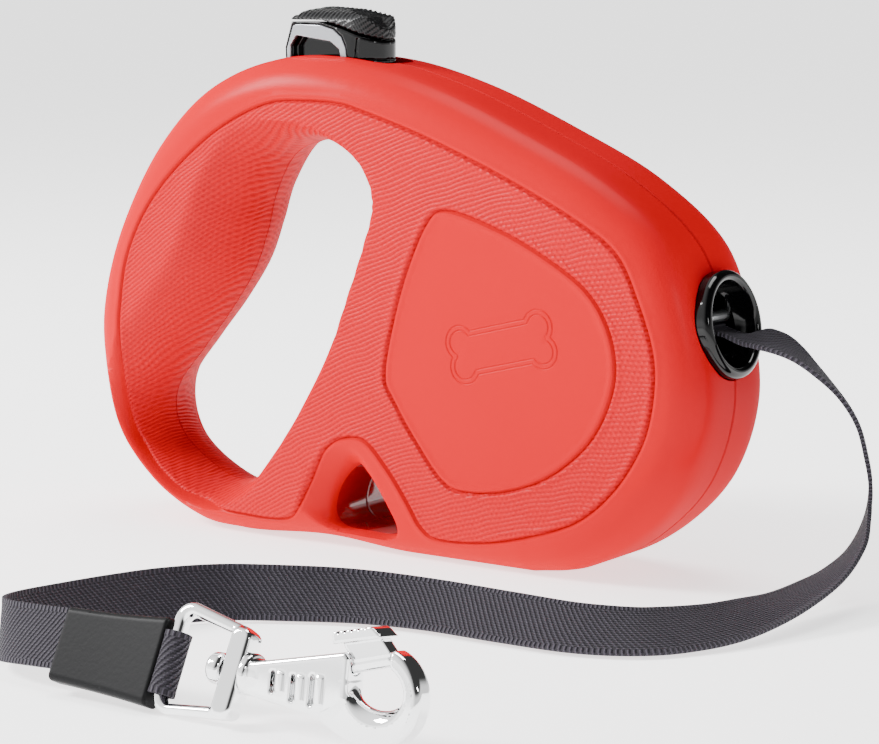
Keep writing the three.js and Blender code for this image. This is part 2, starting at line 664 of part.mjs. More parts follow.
// The eye's hole, deeper at both faces than in the middle.
function eyeHole() {
  return loft([[-2.8, 2.3], [-1.5, 0.7], [0, 0], [1.5, 0.7], [2.8, 2.3]].map(([n, more]) => [
    n, oval(EYE.holeU, EYE.holeS - more / 2, EYE.ru + more / 8, EYE.rs + more / 2, 28),
  ]));
}

function hookBody() {
  const disc = plate(oval(EYE.u, EYE.s, EYE.r, EYE.r, 48), [], HOOK.eyeThick, 1);
  const web = plate(vec2(HOOK_WEB), [], HOOK.eyeThick, 1);
  const mouth = box(10, EYE.tip, -5, 5, EYE.holeS, 15);
  const eye = cutAway(add(disc, web), mouth, eyeHole());
  const body = add(
    plate(vec2(HOOK_BODY), [], HOOK.thick, 1), rodAlong(SWIVEL.collar, -0.2, 1.8),
  );
  return cutAway(
    eye.add(body), gateRod(GATE.r + GAP, GATE.bore, 3),
    alongGate(box(-8.4, 2, -1.8, 1.8, 0, 9)),
  );
}

function gateBolt() {
  const stem = alongGate(plate(vec2(GATE_STEM), [], 3));
  const tab = alongGate(plate(vec2(GATE_TAB), [], 6));
  return toGeometry(add(gateRod(GATE.r, GATE.back, GATE.tip), stem, tab));
}

function gateSpring() {
  const geometry = coil(0, 0, 0, GATE_SPRING.r, GATE_SPRING.wire, GATE_SPRING.length, 8, 64);
  geometry.rotateY(Math.PI / 2);
  geometry.translate(GATE.back - 0.6 - GATE_SPRING.length, 0, 0);
  return alongGate(geometry);
}

function buildFitting(root) {
  const fitting = new THREE.Group();
  fitting.position.set(FITTING.x, FITTING.y, FITTING.z);
  fitting.rotation.x = -rad(FITTING.lean);
  root.add(fitting);
  node('sleeve', sleeve(), BLACK_MATT, fitting);
  node('tape_loop', tapeLoop(), WEBBING, fitting);
  node('ring', ring(), CHROME, fitting);
  const hook = new THREE.Group();
  hook.position.z = SWIVEL.s;
  hook.rotation.x = rad(FITTING.lean - SWIVEL.lean);
  fitting.add(hook);
  node('swivel_rivet', swivelRivet(), CHROME, hook);
  node('hook_body', toGeometry(hookBody()), CHROME, hook);
  node('gate_bolt', gateBolt(), CHROME, hook);
  node('gate_spring', gateSpring(), STEEL, hook);
}

// ---- screws and badges -------------------------------------------------------------
function screw() {
  const profile = [
    [0, -8], [1.15, -8], [1.15, 10.7], [2.8, 10.7], [2.7, 11.8], [1.7, 12.6], [0, 12.8],
  ];
  const merged = mergeVertices(bareOf(new THREE.LatheGeometry(vec2(profile), 16)), 1e-4);
  const index = dropThin(Array.from(merged.index.array));
  merged.setIndex(faceOut(merged.attributes.position.array, index));
  merged.computeVertexNormals();
  return merged;
}

// ---- assembly ----------------------------------------------------------------------
const leash = new THREE.Group();
leash.name = 'retractable_leash';

node('housing_right', toGeometry(housingHalf(-1)), RED, leash);
node('housing_left', toGeometry(housingHalf(1)), RED, leash);
node('badge_right', slab(badgeLoop(0), -HALF, -HALF + 1.4), RED, leash);
node('badge_left', slab(badgeLoop(0), HALF - 1.4, HALF), RED, leash);
SCREWS.forEach(([x, z], i) => {
  node(`housing_screw_${i + 1}`, screw(), STEEL, leash).position.set(x, 0, z);
});
node('nozzle_ring', nozzleRing(), BLACK_GLOSS, leash);
node('guide_pin', rod(GUIDE.r, GUIDE.x, GUIDE.z, -10, 10, 20), STEEL, leash);
node('tape_feed', tapeFeed(), WEBBING, leash);
buildSpool(leash);
buildBrake(leash);
node('tape_free', freeTape(), WEBBING, leash);
buildFitting(leash);

export default leash;
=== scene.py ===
"""Looks of the retractable leash, built round its fixed frame.

Lengths are in millimetres until a mesh is made, and in metres in the materials.
"""

import math

import bmesh
import bpy
import numpy as np
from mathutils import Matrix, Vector, kdtree
from mathutils.geometry import delaunay_2d_cdt


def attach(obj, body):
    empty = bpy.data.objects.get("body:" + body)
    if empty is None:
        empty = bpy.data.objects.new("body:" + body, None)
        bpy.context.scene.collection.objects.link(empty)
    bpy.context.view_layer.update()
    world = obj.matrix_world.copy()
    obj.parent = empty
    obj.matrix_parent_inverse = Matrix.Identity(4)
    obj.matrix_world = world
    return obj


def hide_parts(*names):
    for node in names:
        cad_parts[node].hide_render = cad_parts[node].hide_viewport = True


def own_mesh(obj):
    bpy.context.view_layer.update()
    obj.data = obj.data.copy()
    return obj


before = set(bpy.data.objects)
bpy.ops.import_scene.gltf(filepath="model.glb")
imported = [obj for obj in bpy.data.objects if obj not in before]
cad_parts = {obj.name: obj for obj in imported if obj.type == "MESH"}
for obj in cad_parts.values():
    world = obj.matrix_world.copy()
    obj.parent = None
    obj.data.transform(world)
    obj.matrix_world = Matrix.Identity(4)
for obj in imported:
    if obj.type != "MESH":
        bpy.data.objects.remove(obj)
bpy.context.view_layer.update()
MM = 0.001

# ---- driving dimensions ----
HALF = 20.0            # half the housing's thickness
SHOULDER = 10.5        # width of its rounded rim
WALL = 2.6
RIM_BLEND = 7          # how tightly the rim and the holes' mouths run into one another
SEAM = 0.15            # each half ends this far from the parting plane
SEAM_DEEP = 0.7        # depth of the little V along the parting line
LIP = 1.6              # power of the curve at a hole's lip; 2 is a quarter ellipse
LOWER_STRAIGHT = 13.0  # the lower hole's walls are straight up to this height
OUTLINE = [
    (44, 0), (58, 2.6), (73, 11), (86, 25), (92, 44), (89.5, 63), (82, 81.5), (64, 96),
    (41, 107), (15, 117.2), (-10, 123.2), (-34, 123.4), (-55.9, 115.8), (-72.7, 101),
    (-85.5, 81), (-92.5, 62), (-93.8, 45), (-88.8, 23), (-76, 9), (-60, 1.2), (-46, 0),
]
ARCH_FROM, ARCH_TO, ARCH_RISE = -46.0, 8.0, 1.5
HAND_HOLE = [          # x, z and how far the mouth flares outwards
    (-27, 102.4, 6), (-38.2, 98.4, 9), (-44.8, 88, 12), (-47.8, 78, 14), (-52.5, 67, 14),
    (-60.5, 55.9, 14), (-70, 45, 14), (-79.6, 33, 13), (-78.5, 22.4, 12), (-69, 14.5, 10),
    (-57.5, 10.4, 8), (-45.5, 14.5, 6.5), (-36, 23.3, 5), (-27, 35, 4.5), (-17, 51, 4),
    (-10.6, 66.5, 4), (-5.8, 79, 4), (-3.2, 88.5, 4), (-6.4, 96, 4), (-15.5, 100.8, 5),
]
LOWER_HOLE = [
    (-8, 21.5, 6), (-13.8, 16, 8), (-16, 9, 8), (-13, 5.2, 5), (-5, 4.6, 2), (3, 4.8, 2),
    (6, 7, 2.5), (3, 12.5, 2.5), (-3, 19, 4),
]
BADGE = [
    (22, 21), (30, 19.3), (42, 21.2), (54, 26.5), (65, 36.5), (70.6, 49.5), (69.5, 61),
    (63, 71), (50, 79), (36, 84.8), (22.5, 88), (16.5, 84), (10, 70), (5.6, 55),
    (4.2, 45.5), (6.5, 40.5), (13.5, 30.5),
]
GRIP = [               # groove round the grained area
    (-21, 113.2), (-31, 112.5), (-42.4, 108.4), (-54.1, 101.5), (-66.1, 91.5), (-74.9, 80.8),
    (-80.3, 69.5), (-82.6, 57), (-83.2, 50), (-84.4, 42.5), (-85.6, 35), (-85.2, 28),
    (-83, 21.8), (-78.3, 16), (-72, 11.4), (-64.5, 8), (-53, 6.2), (-42, 5.6), (-33.4, 5.4),
    (-27.3, 6.5), (-23.6, 9.5), (-20.8, 14.8), (-16.8, 22.3), (-13.8, 26.3), (-9, 29),
    (-2, 29), (5, 22.5), (10.5, 15.5), (15.5, 8.5), (20, 6.3), (32, 7), (45, 9.8),
    (60, 15.3), (70.5, 24), (78, 35.3), (81, 46), (81, 57), (77, 69), (71, 80), (60, 87.3),
    (40, 96.5), (17, 105.3), (-2.5, 111.2), (-10.5, 112.9),
]
GROOVE_HALF, GROOVE_DEEP = 0.6, 0.8
BEAD, BEAD_AT, BEAD_WIDE = 0.18, 1.2, 0.35   # low swelling either side of a groove
MOTIF_AT, MOTIF_TILT = (39, 56), math.radians(14)
MOTIF_LONG, MOTIF_KNOB, MOTIF_BAR = 11.5, 3.6, 3.0
MOTIF_GAP, MOTIF_DEEP = 0.6, 0.22   # two lines, this far either side of a bone's outline
NOZZLE, NOZZLE_TILT = Vector((90.3, 0, 63.2)), math.radians(11)
SEAT_R, NECK_R = 13.25, 11.2
SCREWS = [(-62, 90), (-28, 10), (73.5, 18.5), (20, 106), (15.5, 8.5)]
SCREW_BORE, SCREW_SEAT = 3.3, 10.6
TAPE_WIDE, TAPE_THICK = 13.0, 1.0
TAPE_BODY, TAPE_HEM = 0.86, 5.3     # thickness inside the ribbed edges, and where they start

# Spacing of the housing's points.
GRID, FINE_GRID = 1.3, 0.55
STEEP, STEEP_NEAR = 0.5, 0.2        # rows take over from the grid nearer an edge than this
ROWS = (0.06, 0.13, 0.21, 0.31, 0.42)        # along a curved edge, as parts of its width
MORE_ROWS = (0.03, 0.09, 0.17, 0.26, 0.36)   # between them where the edge is wide
LEAST_GAP = 0.22
ON_EDGE = 0.02

# Ring frame: u along the leash, n away from the viewer, s up a leaning plane.
FITTING, LEAN = Vector((72.6, -158, 11.15)), math.radians(27)
SLEEVE_FROM, SLEEVE_TO, SLEEVE_S, SLEEVE_TALL = -48.0, -21.75, -2.2, (15.6, 18.4)
SLEEVE_HALF, SLEEVE_WAIST = 2.5, 0.25
LOOP_U, LOOP_S, LOOP_R, LOOP_THICK = -19.8, -2.0, 2.43, 0.75
RING_OUTER = [(-21.3, -12.2), (-0.6, -10.7), (-0.6, 7.4), (-21.3, 12)]
RING_WINDOW = [(-18.35, -9.9), (-5.4, -8.6), (-5.4, 5.9), (-18.35, 8.5)]
RING_BAR = [(-5.4, -10.6), (-0.6, -10.6), (-0.6, 7.3), (-5.4, 7.6)]
RING_HALF, BAR_HALF, SWIVEL_BORE, POST_R = 1.6, 2.6, 1.9, 1.6

# Hook frame: the same u, and s up from the swivel's axis in a steeper plane.
SWIVEL_S, HOOK_LEAN = -1.0, math.radians(9)
HOOK_HALF, EYE_HALF, COLLAR_R, HOOK_NECK_R = 3.0, 2.6, 4.2, 3.1
HOOK_BODY = [
    (1.2, -3.7), (17.5, -5.3), (21.6, -5.4), (25.6, -1.3), (25.6, 6.9), (24.6, 7.9), (1.2, 2.6),
]
HOOK_WEB = [
    (17, -4.6), (19.2, -6.1), (22.6, -7.7), (26.5, -8.9), (31, -9.3), (31, -3), (24, -1),
]
HOOK_SLOTS = [(8.0, -1.8, 1.5), (12.9, -2.8, 1.5), (17.5, -2.9, 2.1)]
EYE_U, EYE_S, EYE_R, EYE_TIP = 32.3, 0.3, 9.8, 34.9
HOLE_U, HOLE_S, HOLE_RU, HOLE_RS = 32.0, 2.3, 6.1, 4.4
GATE_U, GATE_S, GATE_RISE, GATE_R = 25.8, 5.45, math.radians(16), 1.5
GATE_SPRING = (-20.0, -4.6)   # from and to, along the gate's axis
GATE_STEM = [(-1.5, 3.9), (0.2, 0.6), (8.8, 0.6), (9, 1.3), (7.2, 4.6), (-1.5, 4.9)]
GATE_TAB = [(-3.05, 4.6), (7.15, 4.2), (8.4, 4.3), (6.5, 6.6), (-2.8, 6.9)]

# The button's opening, and the button seen from its side: x and z.
SLOT_REAR, SLOT_FRONT, SLOT_HALF, SLOT_CORNER = -37.3, -4.8, 8.2, 4.0
BUTTON_REAR, BUTTON_NOSE, BUTTON_HALF = -36.0, -15.6, 7.5
BUTTON_SIDE = [
    (-35.7, 115.9), (-8, 115.9), (-8, 127.6), (-18, 130.9), (-24.6, 132.5), (-33.9, 132.5),
    (-36, 126),
]
CAP_SIDE = [
    (-34.2, 132.9), (-24.6, 132.9), (-18, 131.3), (-8, 128), (-8.3, 130.8), (-11, 133.9),
    (-17.6, 135.7), (-26.2, 136.4), (-31.5, 135.3), (-34.2, 133.6),
]
FRAME_OUTER = [
    (-35.2, 117), (-35.4, 125.7), (-33.4, 131.4), (-32.4, 131.9), (-24.6, 131.7),
    (-20.5, 130.6), (-18, 128.8), (-16.8, 126.4), (-15.6, 117),
]
FRAME_INNER = [
    (-34.1, 117), (-34.2, 126.4), (-32.3, 129), (-21.5, 127.6), (-18.7, 125.6), (-17.3, 117),
]

# The brake's return spring, from its foot to the plate above it.
RETURN_FOOT, RETURN_TOP = Vector((-24, 0, 107)), Vector((-24, 0, 111.85))
RETURN_LONG, RETURN_WIRE, PRESS_TRAVEL = 4.4, 0.45, 3.2

# Free tape: centre line x, y, z, then the way its lower edge points.
ROUTE = [
    (86, 0, 61.4, 0.1, -1, 0), (92, 0, 60.8, 0.3, -1, 0.1), (99, 0, 60.6, 0.6, -1, -0.25),
    (106, 0, 58.5, 0.7, -1, -0.3), (112, 1, 54.5, 0.55, -0.95, -0.1),
    (117, 4, 48.5, 0.45, -0.9, 0.11), (120, 8, 41, 0.42, -0.89, 0.16),
    (121.6, 10, 33, 0.42, -0.89, 0.18), (122.3, 11, 26, 0.43, -0.88, 0.2),
    (122.2, 10, 20, 0.48, -0.83, 0.28), (121.9, 6, 14.5, 0.6, -0.62, 0.4),
    (121.7, -1, 10.7, 0.8, -0.3, 0.42), (121.5, -12, 7.8, 0.92, -0.15, 0.2),
    (120.5, -24, 5.9, 0.95, -0.12, 0), (118.8, -36, 5, 0.9, -0.2, -0.25),
    (116.2, -47.8, 4.5, 0.8, -0.3, -0.43), (111.7, -57.8, 4.5, 0.65, -0.5, -0.55),
    (105.2, -66.3, 4.75, 0.45, -0.65, -0.61), (93.2, -72.1, 5.05, 0.13, -0.75, -0.66),
    (76.2, -73.6, 5.35, 0, -0.72, -0.7), (56.2, -74.3, 5.6, 0, -0.68, -0.73),
    (39.2, -78.3, 5.95, 0, -0.6, -0.82), (25.2, -85.8, 6.25, 0, -0.5, -0.88),
    (13.2, -93.8, 6.4, 0.05, -0.45, -0.92), (5, -104.8, 6.5, 0.15, -0.4, -0.95),
    (0.3, -117.8, 6.6, 0.3, -0.25, -1), (-2.3, -130.8, 6.8, 0.3, -0.1, -1),
    (-3, -143, 7.3, 0.15, 0, -1), (-0.5, -151, 8, 0, -0.1, -1),
    (5, -155.6, 8.8, 0, -0.3, -1), (13, -157.6, 9.6, 0, -0.45, -0.93),
    (24.3, -158.4, 10.35, 0, -0.454, -0.891),
]

VIEW_TURN, VIEW_RISE = math.radians(35), math.radians(8.5)
VIEW_AT, VIEW_AWAY, LENS = Vector((7, 0, 44.8)), 700, 113.24

# Lamps: name, place, size and power, in metres and watts.
LAMPS = (
    ("key", (-0.85, -0.6, 0.75), 0.35, 30), ("top", (0.0, 0.25, 1.1), 0.6, 10),
    ("side", (1.0, -0.3, 0.4), 0.12, 1.2),
)
LAMPS_AT = Vector((0, -0.03, 0.05))

RED = (0.5, 0.0, 0.006)
RIB, SCALE = 0.00118, 0.0015        # pitch of the grip's ribs, and of the scales on them


# ---- camera ----
def add_aimed(name, data, place, way):
    """Puts a camera or lamp in the scene, looking a given way."""
    obj = bpy.data.objects.new(name, data)
    obj.location = place
    obj.rotation_mode = "QUATERNION"
    obj.rotation_quaternion = way.to_track_quat("-Z", "Y")
    bpy.context.scene.collection.objects.link(obj)
    return obj


def make_camera():
    back = Vector((
        math.sin(VIEW_TURN) * math.cos(VIEW_RISE),
        -math.cos(VIEW_TURN) * math.cos(VIEW_RISE),
        math.sin(VIEW_RISE),
    ))
    data = bpy.data.cameras.new("camera")
    data.sensor_width = 36
    data.lens = LENS
    data.clip_start, data.clip_end = 0.01, 20
    place = (VIEW_AT + back * VIEW_AWAY) * MM
    bpy.context.scene.camera = add_aimed("camera", data, place, -back)


# ---- materials ----
class Mat:
    """A node material with short ways to add nodes and links."""

    def __init__(self, name, color, rough, metal=0.0, coat=0.0, specular=0.5):
        self.mat = bpy.data.materials.new(name)
        self.mat.use_nodes = True
        self.tree = self.mat.node_tree
        self.shader = self.tree.nodes["Principled BSDF"]
        self.set("Base Color", (*color, 1))
        self.set("Roughness", rough)
        self.set("Metallic", metal)
        self.set("Coat Weight", coat)
        self.set("Specular IOR Level", specular)

    def set(self, socket, value):
        self.shader.inputs[socket].default_value = value

    def node(self, kind, **inputs):
        made = self.tree.nodes.new("ShaderNode" + kind)
        for key, value in inputs.items():
            if hasattr(made, key):
                setattr(made, key, value)
            elif isinstance(value, bpy.types.NodeSocket):
                self.tree.links.new(value, made.inputs[key.replace("_", " ")])
            else:
                made.inputs[key.replace("_", " ")].default_value = value
        return made

    def link(self, a, b):
        self.tree.links.new(a, b)

    def coords(self, kind="Object"):
        return self.node("TexCoord").outputs[kind]

    def math(self, operation, a, b=0.0):
        made = self.node("Math", operation=operation)
        for socket, value in zip(made.inputs, (a, b)):
            if isinstance(value, bpy.types.NodeSocket):
                self.link(value, socket)
            else:
                socket.default_value = value
        return made.outputs[0]

    def noise(self, vector, scale, detail=2.0, rough=0.5):
        made = self.node("TexNoise", Scale=scale, Detail=detail, Roughness=rough)
        self.link(vector, made.inputs["Vector"])
        return made.outputs["Fac"]

    def bump(self, height, distance, strength=1.0, normal=None):
        made = self.node("Bump", Strength=strength, Distance=distance)
        self.link(height, made.inputs["Height"])
        if normal is not None:
            self.link(normal, made.inputs["Normal"])
        self.link(made.outputs[0], self.shader.inputs["Normal"])
        self.link(made.outputs[0], self.shader.inputs["Coat Normal"])
        return made.outputs[0]

    def tint(self, fac, low, high, dark, light):
        """Base colour from dark to light as fac goes through its range."""
        made = self.node("Mix", data_type="RGBA")
        self.link(self.ramp(fac, low, high), made.inputs["Factor"])
        made.inputs[6].default_value = (*dark, 1)
        made.inputs[7].default_value = (*light, 1)
        self.link(made.outputs[2], self.shader.inputs["Base Color"])

    def ramp(self, fac, low, high):
        """Maps fac to a value between low and high."""
        made = self.node("MapRange")
        self.link(fac, made.inputs["Value"])
        made.inputs["To Min"].default_value = low
        made.inputs["To Max"].default_value = high
        return made.outputs[0]


def rib_axes(m):
    """Distances along and across slanting ribs that level out towards the front."""
    split = m.node("SeparateXYZ")
    m.link(m.coords(), split.inputs[0])
    x, z = split.outputs["X"], split.outputs["Z"]
    rise = m.math("MULTIPLY", x, m.math("SUBTRACT", 0.42, m.math("MULTIPLY", x, 2.0)))
    along = m.math("ADD", x, m.math("MULTIPLY", z, 0.4))
    return along, m.math("SUBTRACT", z, rise)


def wave(m, value, length):
    """Sine of a value that repeats after a length."""
    return m.math("SINE", m.math("MULTIPLY", value, 2 * math.pi / length))


def red_satin():
    m = Mat("red_satin", RED, 0.5, coat=0.12, specular=0.0)
    m.set("Coat Roughness", 0.3)
    m.bump(m.noise(m.coords(), 1500, 2), 0.00006, 0.35)
    return m.mat


def red_badge():
    m = Mat("red_badge", RED, 0.5, coat=0.12, specular=0.0)
    m.set("Coat Roughness", 0.38)
    m.bump(m.noise(m.coords(), 1300, 2, 0.6), 0.0001, 0.45)
    return m.mat


def red_grip():
    """Fine slanting ribs, bent a little and broken into scales."""
    m = Mat("red_grip", RED, 0.5, coat=0.14, specular=0.0)
    m.set("Coat Roughness", 0.34)
    along, across = rib_axes(m)
    drift = m.math("MULTIPLY", m.math("SUBTRACT", m.noise(m.coords(), 90, 1), 0.5), 0.0022)
    across = m.math("ADD", across, drift)
    ribs = wave(m, across, RIB)
    row = m.math("MULTIPLY", m.math("FLOOR", m.math("DIVIDE", across, RIB)), 0.00047)
    scales = wave(m, m.math("ADD", along, row), SCALE)
    height = m.math("ADD", ribs, m.math("MULTIPLY", scales, 0.5))
    fine = m.math("MULTIPLY", m.noise(m.coords(), 1500, 2), 1.5)
    height = m.math("ADD", height, fine)
    m.bump(height, 0.00009, 0.9)
    # Base colour follows the rib height: painted shade in the furrows and a painted highlight
    # on the crests, mixed with random grain from the noise.
    m.tint(height, 0.1, 0.75, (RED[0] * 0.82, RED[1], RED[2]), (RED[0] * 1.12, 0.004, 0.012))
    return m.mat


def red_gloss():
    """Polished walls of the lower hole."""
    m = Mat("red_gloss", (0.3, 0.0, 0.003), 0.09, specular=0.8)
    m.bump(m.noise(m.coords(), 300, 1), 0.00003, 0.2)
    return m.mat


def black_gloss():
    m = Mat("black_gloss", (0.001, 0.001, 0.0012), 0.08, specular=0.3)
    return m.mat


def black_knurl():
    m = Mat("black_knurl", (0.003, 0.003, 0.0035), 0.34, specular=0.35)
    m.bump(m.noise(m.coords(), 1400, 2), 0.00005, 0.5)
    return m.mat


def silver_paint():
    m = Mat("silver_paint", (0.33, 0.34, 0.36), 0.3, metal=0.8)
    m.bump(m.noise(m.coords(), 3000, 1), 0.00001, 0.3)
    return m.mat


def grey_plastic():
    m = Mat("grey_plastic", (0.13, 0.14, 0.15), 0.5)
    m.bump(m.noise(m.coords(), 1500, 1), 0.00003, 0.4)
    return m.mat


def steel():
    m = Mat("steel", (0.6, 0.61, 0.62), 0.3, metal=1.0)
    m.link(m.ramp(m.noise(m.coords(), 400, 2), 0.24, 0.36), m.shader.inputs["Roughness"])
    return m.mat


def chrome():
    m = Mat("chrome", (0.9, 0.905, 0.91), 0.05, metal=1.0)
    m.bump(m.noise(m.coords(), 120, 1), 0.00006, 0.12)
    return m.mat


def rubber():
    m = Mat("rubber", (0.007, 0.007, 0.0075), 0.45, specular=0.08)
    m.bump(m.noise(m.coords(), 1100, 2), 0.00005, 0.5)
    return m.mat


def webbing_plain():
    m = Mat("webbing_plain", (0.02, 0.0185, 0.024), 0.75, specular=0.25)
    m.bump(m.noise(m.coords(), 900, 2), 0.0001, 0.7)
    return m.mat


def webbing():
    """Twill with ribbed edges; the map holds millimetres along and across the tape."""
    m = Mat("webbing", (0.02, 0.0185, 0.024), 0.7, specular=0.12)
    m.set("Sheen Weight", 0.04)
    split = m.node("SeparateXYZ")
    m.link(m.coords("UV"), split.inputs[0])
    along, across = split.outputs["X"], split.outputs["Y"]
    wander = m.math("MULTIPLY", m.noise(m.coords("UV"), 0.9, 2), 0.35)
    twill = m.math("ADD", m.math("ADD", along, m.math("MULTIPLY", across, 0.75)), wander)
    body = m.math("ADD", wave(m, twill, 1.25), m.math("MULTIPLY", wave(m, across, 0.62), 0.5))
    edge = m.math("GREATER_THAN", m.math("ABSOLUTE", across), TAPE_HEM)
    mix = m.node("Mix")
    m.link(edge, mix.inputs["Factor"])
    m.link(body, mix.inputs[2])
    m.link(wave(m, along, 1.1), mix.inputs[3])
    height = mix.outputs[0]
    m.bump(height, 0.0002, 1.0)
    # Base colour follows the weave height: painted shade in the twill's furrows and the edge
    # ribs' hollows, and a painted highlight on the raised threads.
    m.tint(height, 0.25, 0.8, (0.004, 0.0036, 0.0048), (0.07, 0.062, 0.08))
    return m.mat


def floor_material():
    """Pale sweep with a little light of its own, so that its shadows stay soft."""
    m = Mat("floor", (0.88, 0.88, 0.88), 0.6, specular=0.0)
    m.set("Emission Color", (1, 1, 1, 1))
    m.set("Emission Strength", 1.6)
    return m.mat


# ---- plane curves ----
def spline(rows, per, closed=True):
    """Points on a uniform Catmull-Rom spline through the rows."""
    rows = np.array(rows, float)
    if closed:
        padded = np.vstack([rows[-1:], rows, rows[:2]])
    else:
        padded = np.vstack([2 * rows[:1] - rows[1:2], rows, 2 * rows[-1:] - rows[-2:-1]])
    t = np.linspace(0, 1, per, endpoint=False)[:, None]
    out = []
    for a, b, c, d in zip(padded, padded[1:], padded[2:], padded[3:]):
        cubic = 2 * b + (c - a) * t + (2 * a - 5 * b + 4 * c - d) * t ** 2
        out.append(0.5 * (cubic + (3 * b - a - 3 * c + d) * t ** 3))
    points = np.vstack(out)
    return points if closed else np.vstack([points, rows[-1:]])


def resample(points, count, closed=True):
    """The same line with points at even distances."""
    line = np.vstack([points, points[:1]]) if closed else points
    steps = np.linalg.norm(np.diff(line[:, :2], axis=0), axis=1)
    at = np.concatenate([[0], np.cumsum(steps)])
    want = np.linspace(0, at[-1], count, endpoint=not closed)
    return np.stack([np.interp(want, at, line[:, k]) for k in range(line.shape[1])], 1)


def unit(vectors):
    return vectors / np.linalg.norm(vectors, axis=1)[:, None]


def smoothed(loop, passes):
    """The loop after each point moves towards its neighbours, a few times."""
    for _ in range(passes):
        loop = 0.5 * loop + 0.25 * (np.roll(loop, 1, 0) + np.roll(loop, -1, 0))
    return loop


def outline_loop(count):
    t = np.linspace(0, 1, 60)[1:, None]
    under = np.hstack([
        ARCH_FROM + (ARCH_TO - ARCH_FROM) * t, ARCH_RISE * np.sin(math.pi * t) ** 2,
    ])
    loop = np.vstack([spline(OUTLINE, 24, closed=False), under])
    return smoothed(resample(loop, count), 4)


def offset(loop, distance):
    """Moves an anticlockwise loop outwards."""
    t = unit(np.roll(loop[:, :2], -1, 0) - np.roll(loop[:, :2], 1, 0))
    out = loop.copy()
    out[:, :2] += np.stack([t[:, 1], -t[:, 0]], 1) * np.reshape(distance, (-1, 1))
    return out


def nearest(points, loop):
    """Distance from each point to a closed line, and the line's third column there."""
    a, b = loop, np.roll(loop, -1, 0)
    best = np.full(len(points), 1e9)
    carried = np.zeros(len(points))
    for start in range(0, len(points), 4000):
        p = points[start:start + 4000]
        gap = np.linalg.norm(p[:, None] - a[None, :, :2], axis=2)
        near = gap.argmin(1)
        for i in (near, (near - 1) % len(loop)):
            ab = b[i] - a[i]
            t = ((p - a[i, :2]) * ab[:, :2]).sum(1) / np.maximum((ab[:, :2] ** 2).sum(1), 1e-12)
            foot = a[i] + ab * np.clip(t, 0, 1)[:, None]
            d = np.linalg.norm(p - foot[:, :2], axis=1)
            closer = d < best[start:start + 4000]
            best[start:start + 4000][closer] = d[closer]
            if loop.shape[1] > 2:
                carried[start:start + 4000][closer] = foot[closer, 2]
    return best, carried


def inside(points, loop):
    """True for points inside a closed loop."""
    a, b = loop[:, :2], np.roll(loop[:, :2], -1, 0)
    odd = np.zeros(len(points), bool)
    for (x0, y0), (x1, y1) in zip(a, b):
        if y0 == y1:
            continue
        hit = (points[:, 1] >= min(y0, y1)) & (points[:, 1] < max(y0, y1))
        x = x0 + (points[:, 1] - y0) * (x1 - x0) / (y1 - y0)
        odd ^= hit & (points[:, 0] < x)
    return odd


# ---- meshes ----
def new_mesh(name, verts, faces, materials, indices=None, sharp=None, smooth=True):
    """A mesh object from millimetres."""
    mesh = bpy.data.meshes.new(name)
    mesh.from_pydata((np.asarray(verts, float) * MM).tolist(), [], [list(f) for f in faces])
    for material in materials:
        mesh.materials.append(material)
    if indices is not None:
        mesh.polygons.foreach_set("material_index", np.asarray(indices, np.int32))
    mesh.validate()
    if smooth:
        mesh.shade_smooth()
    if sharp is not None:
        mesh.set_sharp_from_angle(angle=math.radians(sharp))
    obj = bpy.data.objects.new(name, mesh)
    bpy.context.scene.collection.objects.link(obj)
    return obj


def take_away(obj, *cutters):
    """Cuts the cutters out of the object, and removes them."""
    for cutter in cutters:
        cut = obj.modifiers.new("cut", "BOOLEAN")
        cut.operation = "DIFFERENCE"
        cut.solver = "MANIFOLD"
        cut.object = cutter
    graph = bpy.context.evaluated_depsgraph_get()
    mesh = bpy.data.meshes.new_from_object(obj.evaluated_get(graph))
    obj.modifiers.clear()
    old = obj.data
    obj.data = mesh
    bpy.data.meshes.remove(old)
    for cutter in cutters:
        bpy.data.objects.remove(cutter)


def outward(obj):
    """Turns every face to look outwards."""
    work = bmesh.new()
    work.from_mesh(obj.data)
    bmesh.ops.recalc_face_normals(work, faces=work.faces)
    work.to_mesh(obj.data)
    work.free()


def towards(axis):
    """Rotation that turns the z axis to another one."""
    return Vector((0, 0, 1)).rotation_difference(Vector(axis)).to_matrix()


def extruded(name, loop, h0, h1, material, place=Vector):
    """Solid between two levels of a closed loop of plane points, then put in place."""
    n = len(loop)
    verts = [place((a, b, h)) for h in (h0, h1) for a, b in loop]
    faces = [(i, (i + 1) % n, (i + 1) % n + n, i + n) for i in range(n)]
    faces += [tuple(reversed(range(n))), tuple(range(n, 2 * n))]
    obj = new_mesh(name, verts, faces, [material], smooth=False)
    outward(obj)
    return obj


def cylinder(name, centre, axis, r, h0, h1, segments, material):
    """Plain cylinder solid along an axis, from h0 to h1."""
    angles = [2 * math.pi * k / segments for k in range(segments)]
    loop = [(r * math.cos(a), r * math.sin(a)) for a in angles]
    turn = towards(axis)
    return extruded(name, loop, h0, h1, material, lambda p: turn @ Vector(p) + Vector(centre))


def ring_faces(rings, n, closed=False):
    """Quads between neighbouring rings of n points; the last may join the first."""
    faces = []
    for k in range(rings if closed else rings - 1):
        a, b = k * n, (k + 1) % rings * n
        faces += [(a + i, a + (i + 1) % n, b + (i + 1) % n, b + i) for i in range(n)]
    return faces


def turned(name, profile, segments, material, centre, axis, sharp=40):
    """Turned piece: profile of radius, height along the axis; closed on itself."""
    verts = []
    for k in range(segments):
        a = 2 * math.pi * k / segments
        verts += [(r * math.cos(a), r * math.sin(a), h) for r, h in profile]
    turn = towards(axis)
    placed = [turn @ Vector(v) + Vector(centre) for v in verts]
    faces = ring_faces(segments, len(profile), closed=True)
    obj = new_mesh(name, placed, faces, [material], sharp=sharp)
    outward(obj)
    return obj


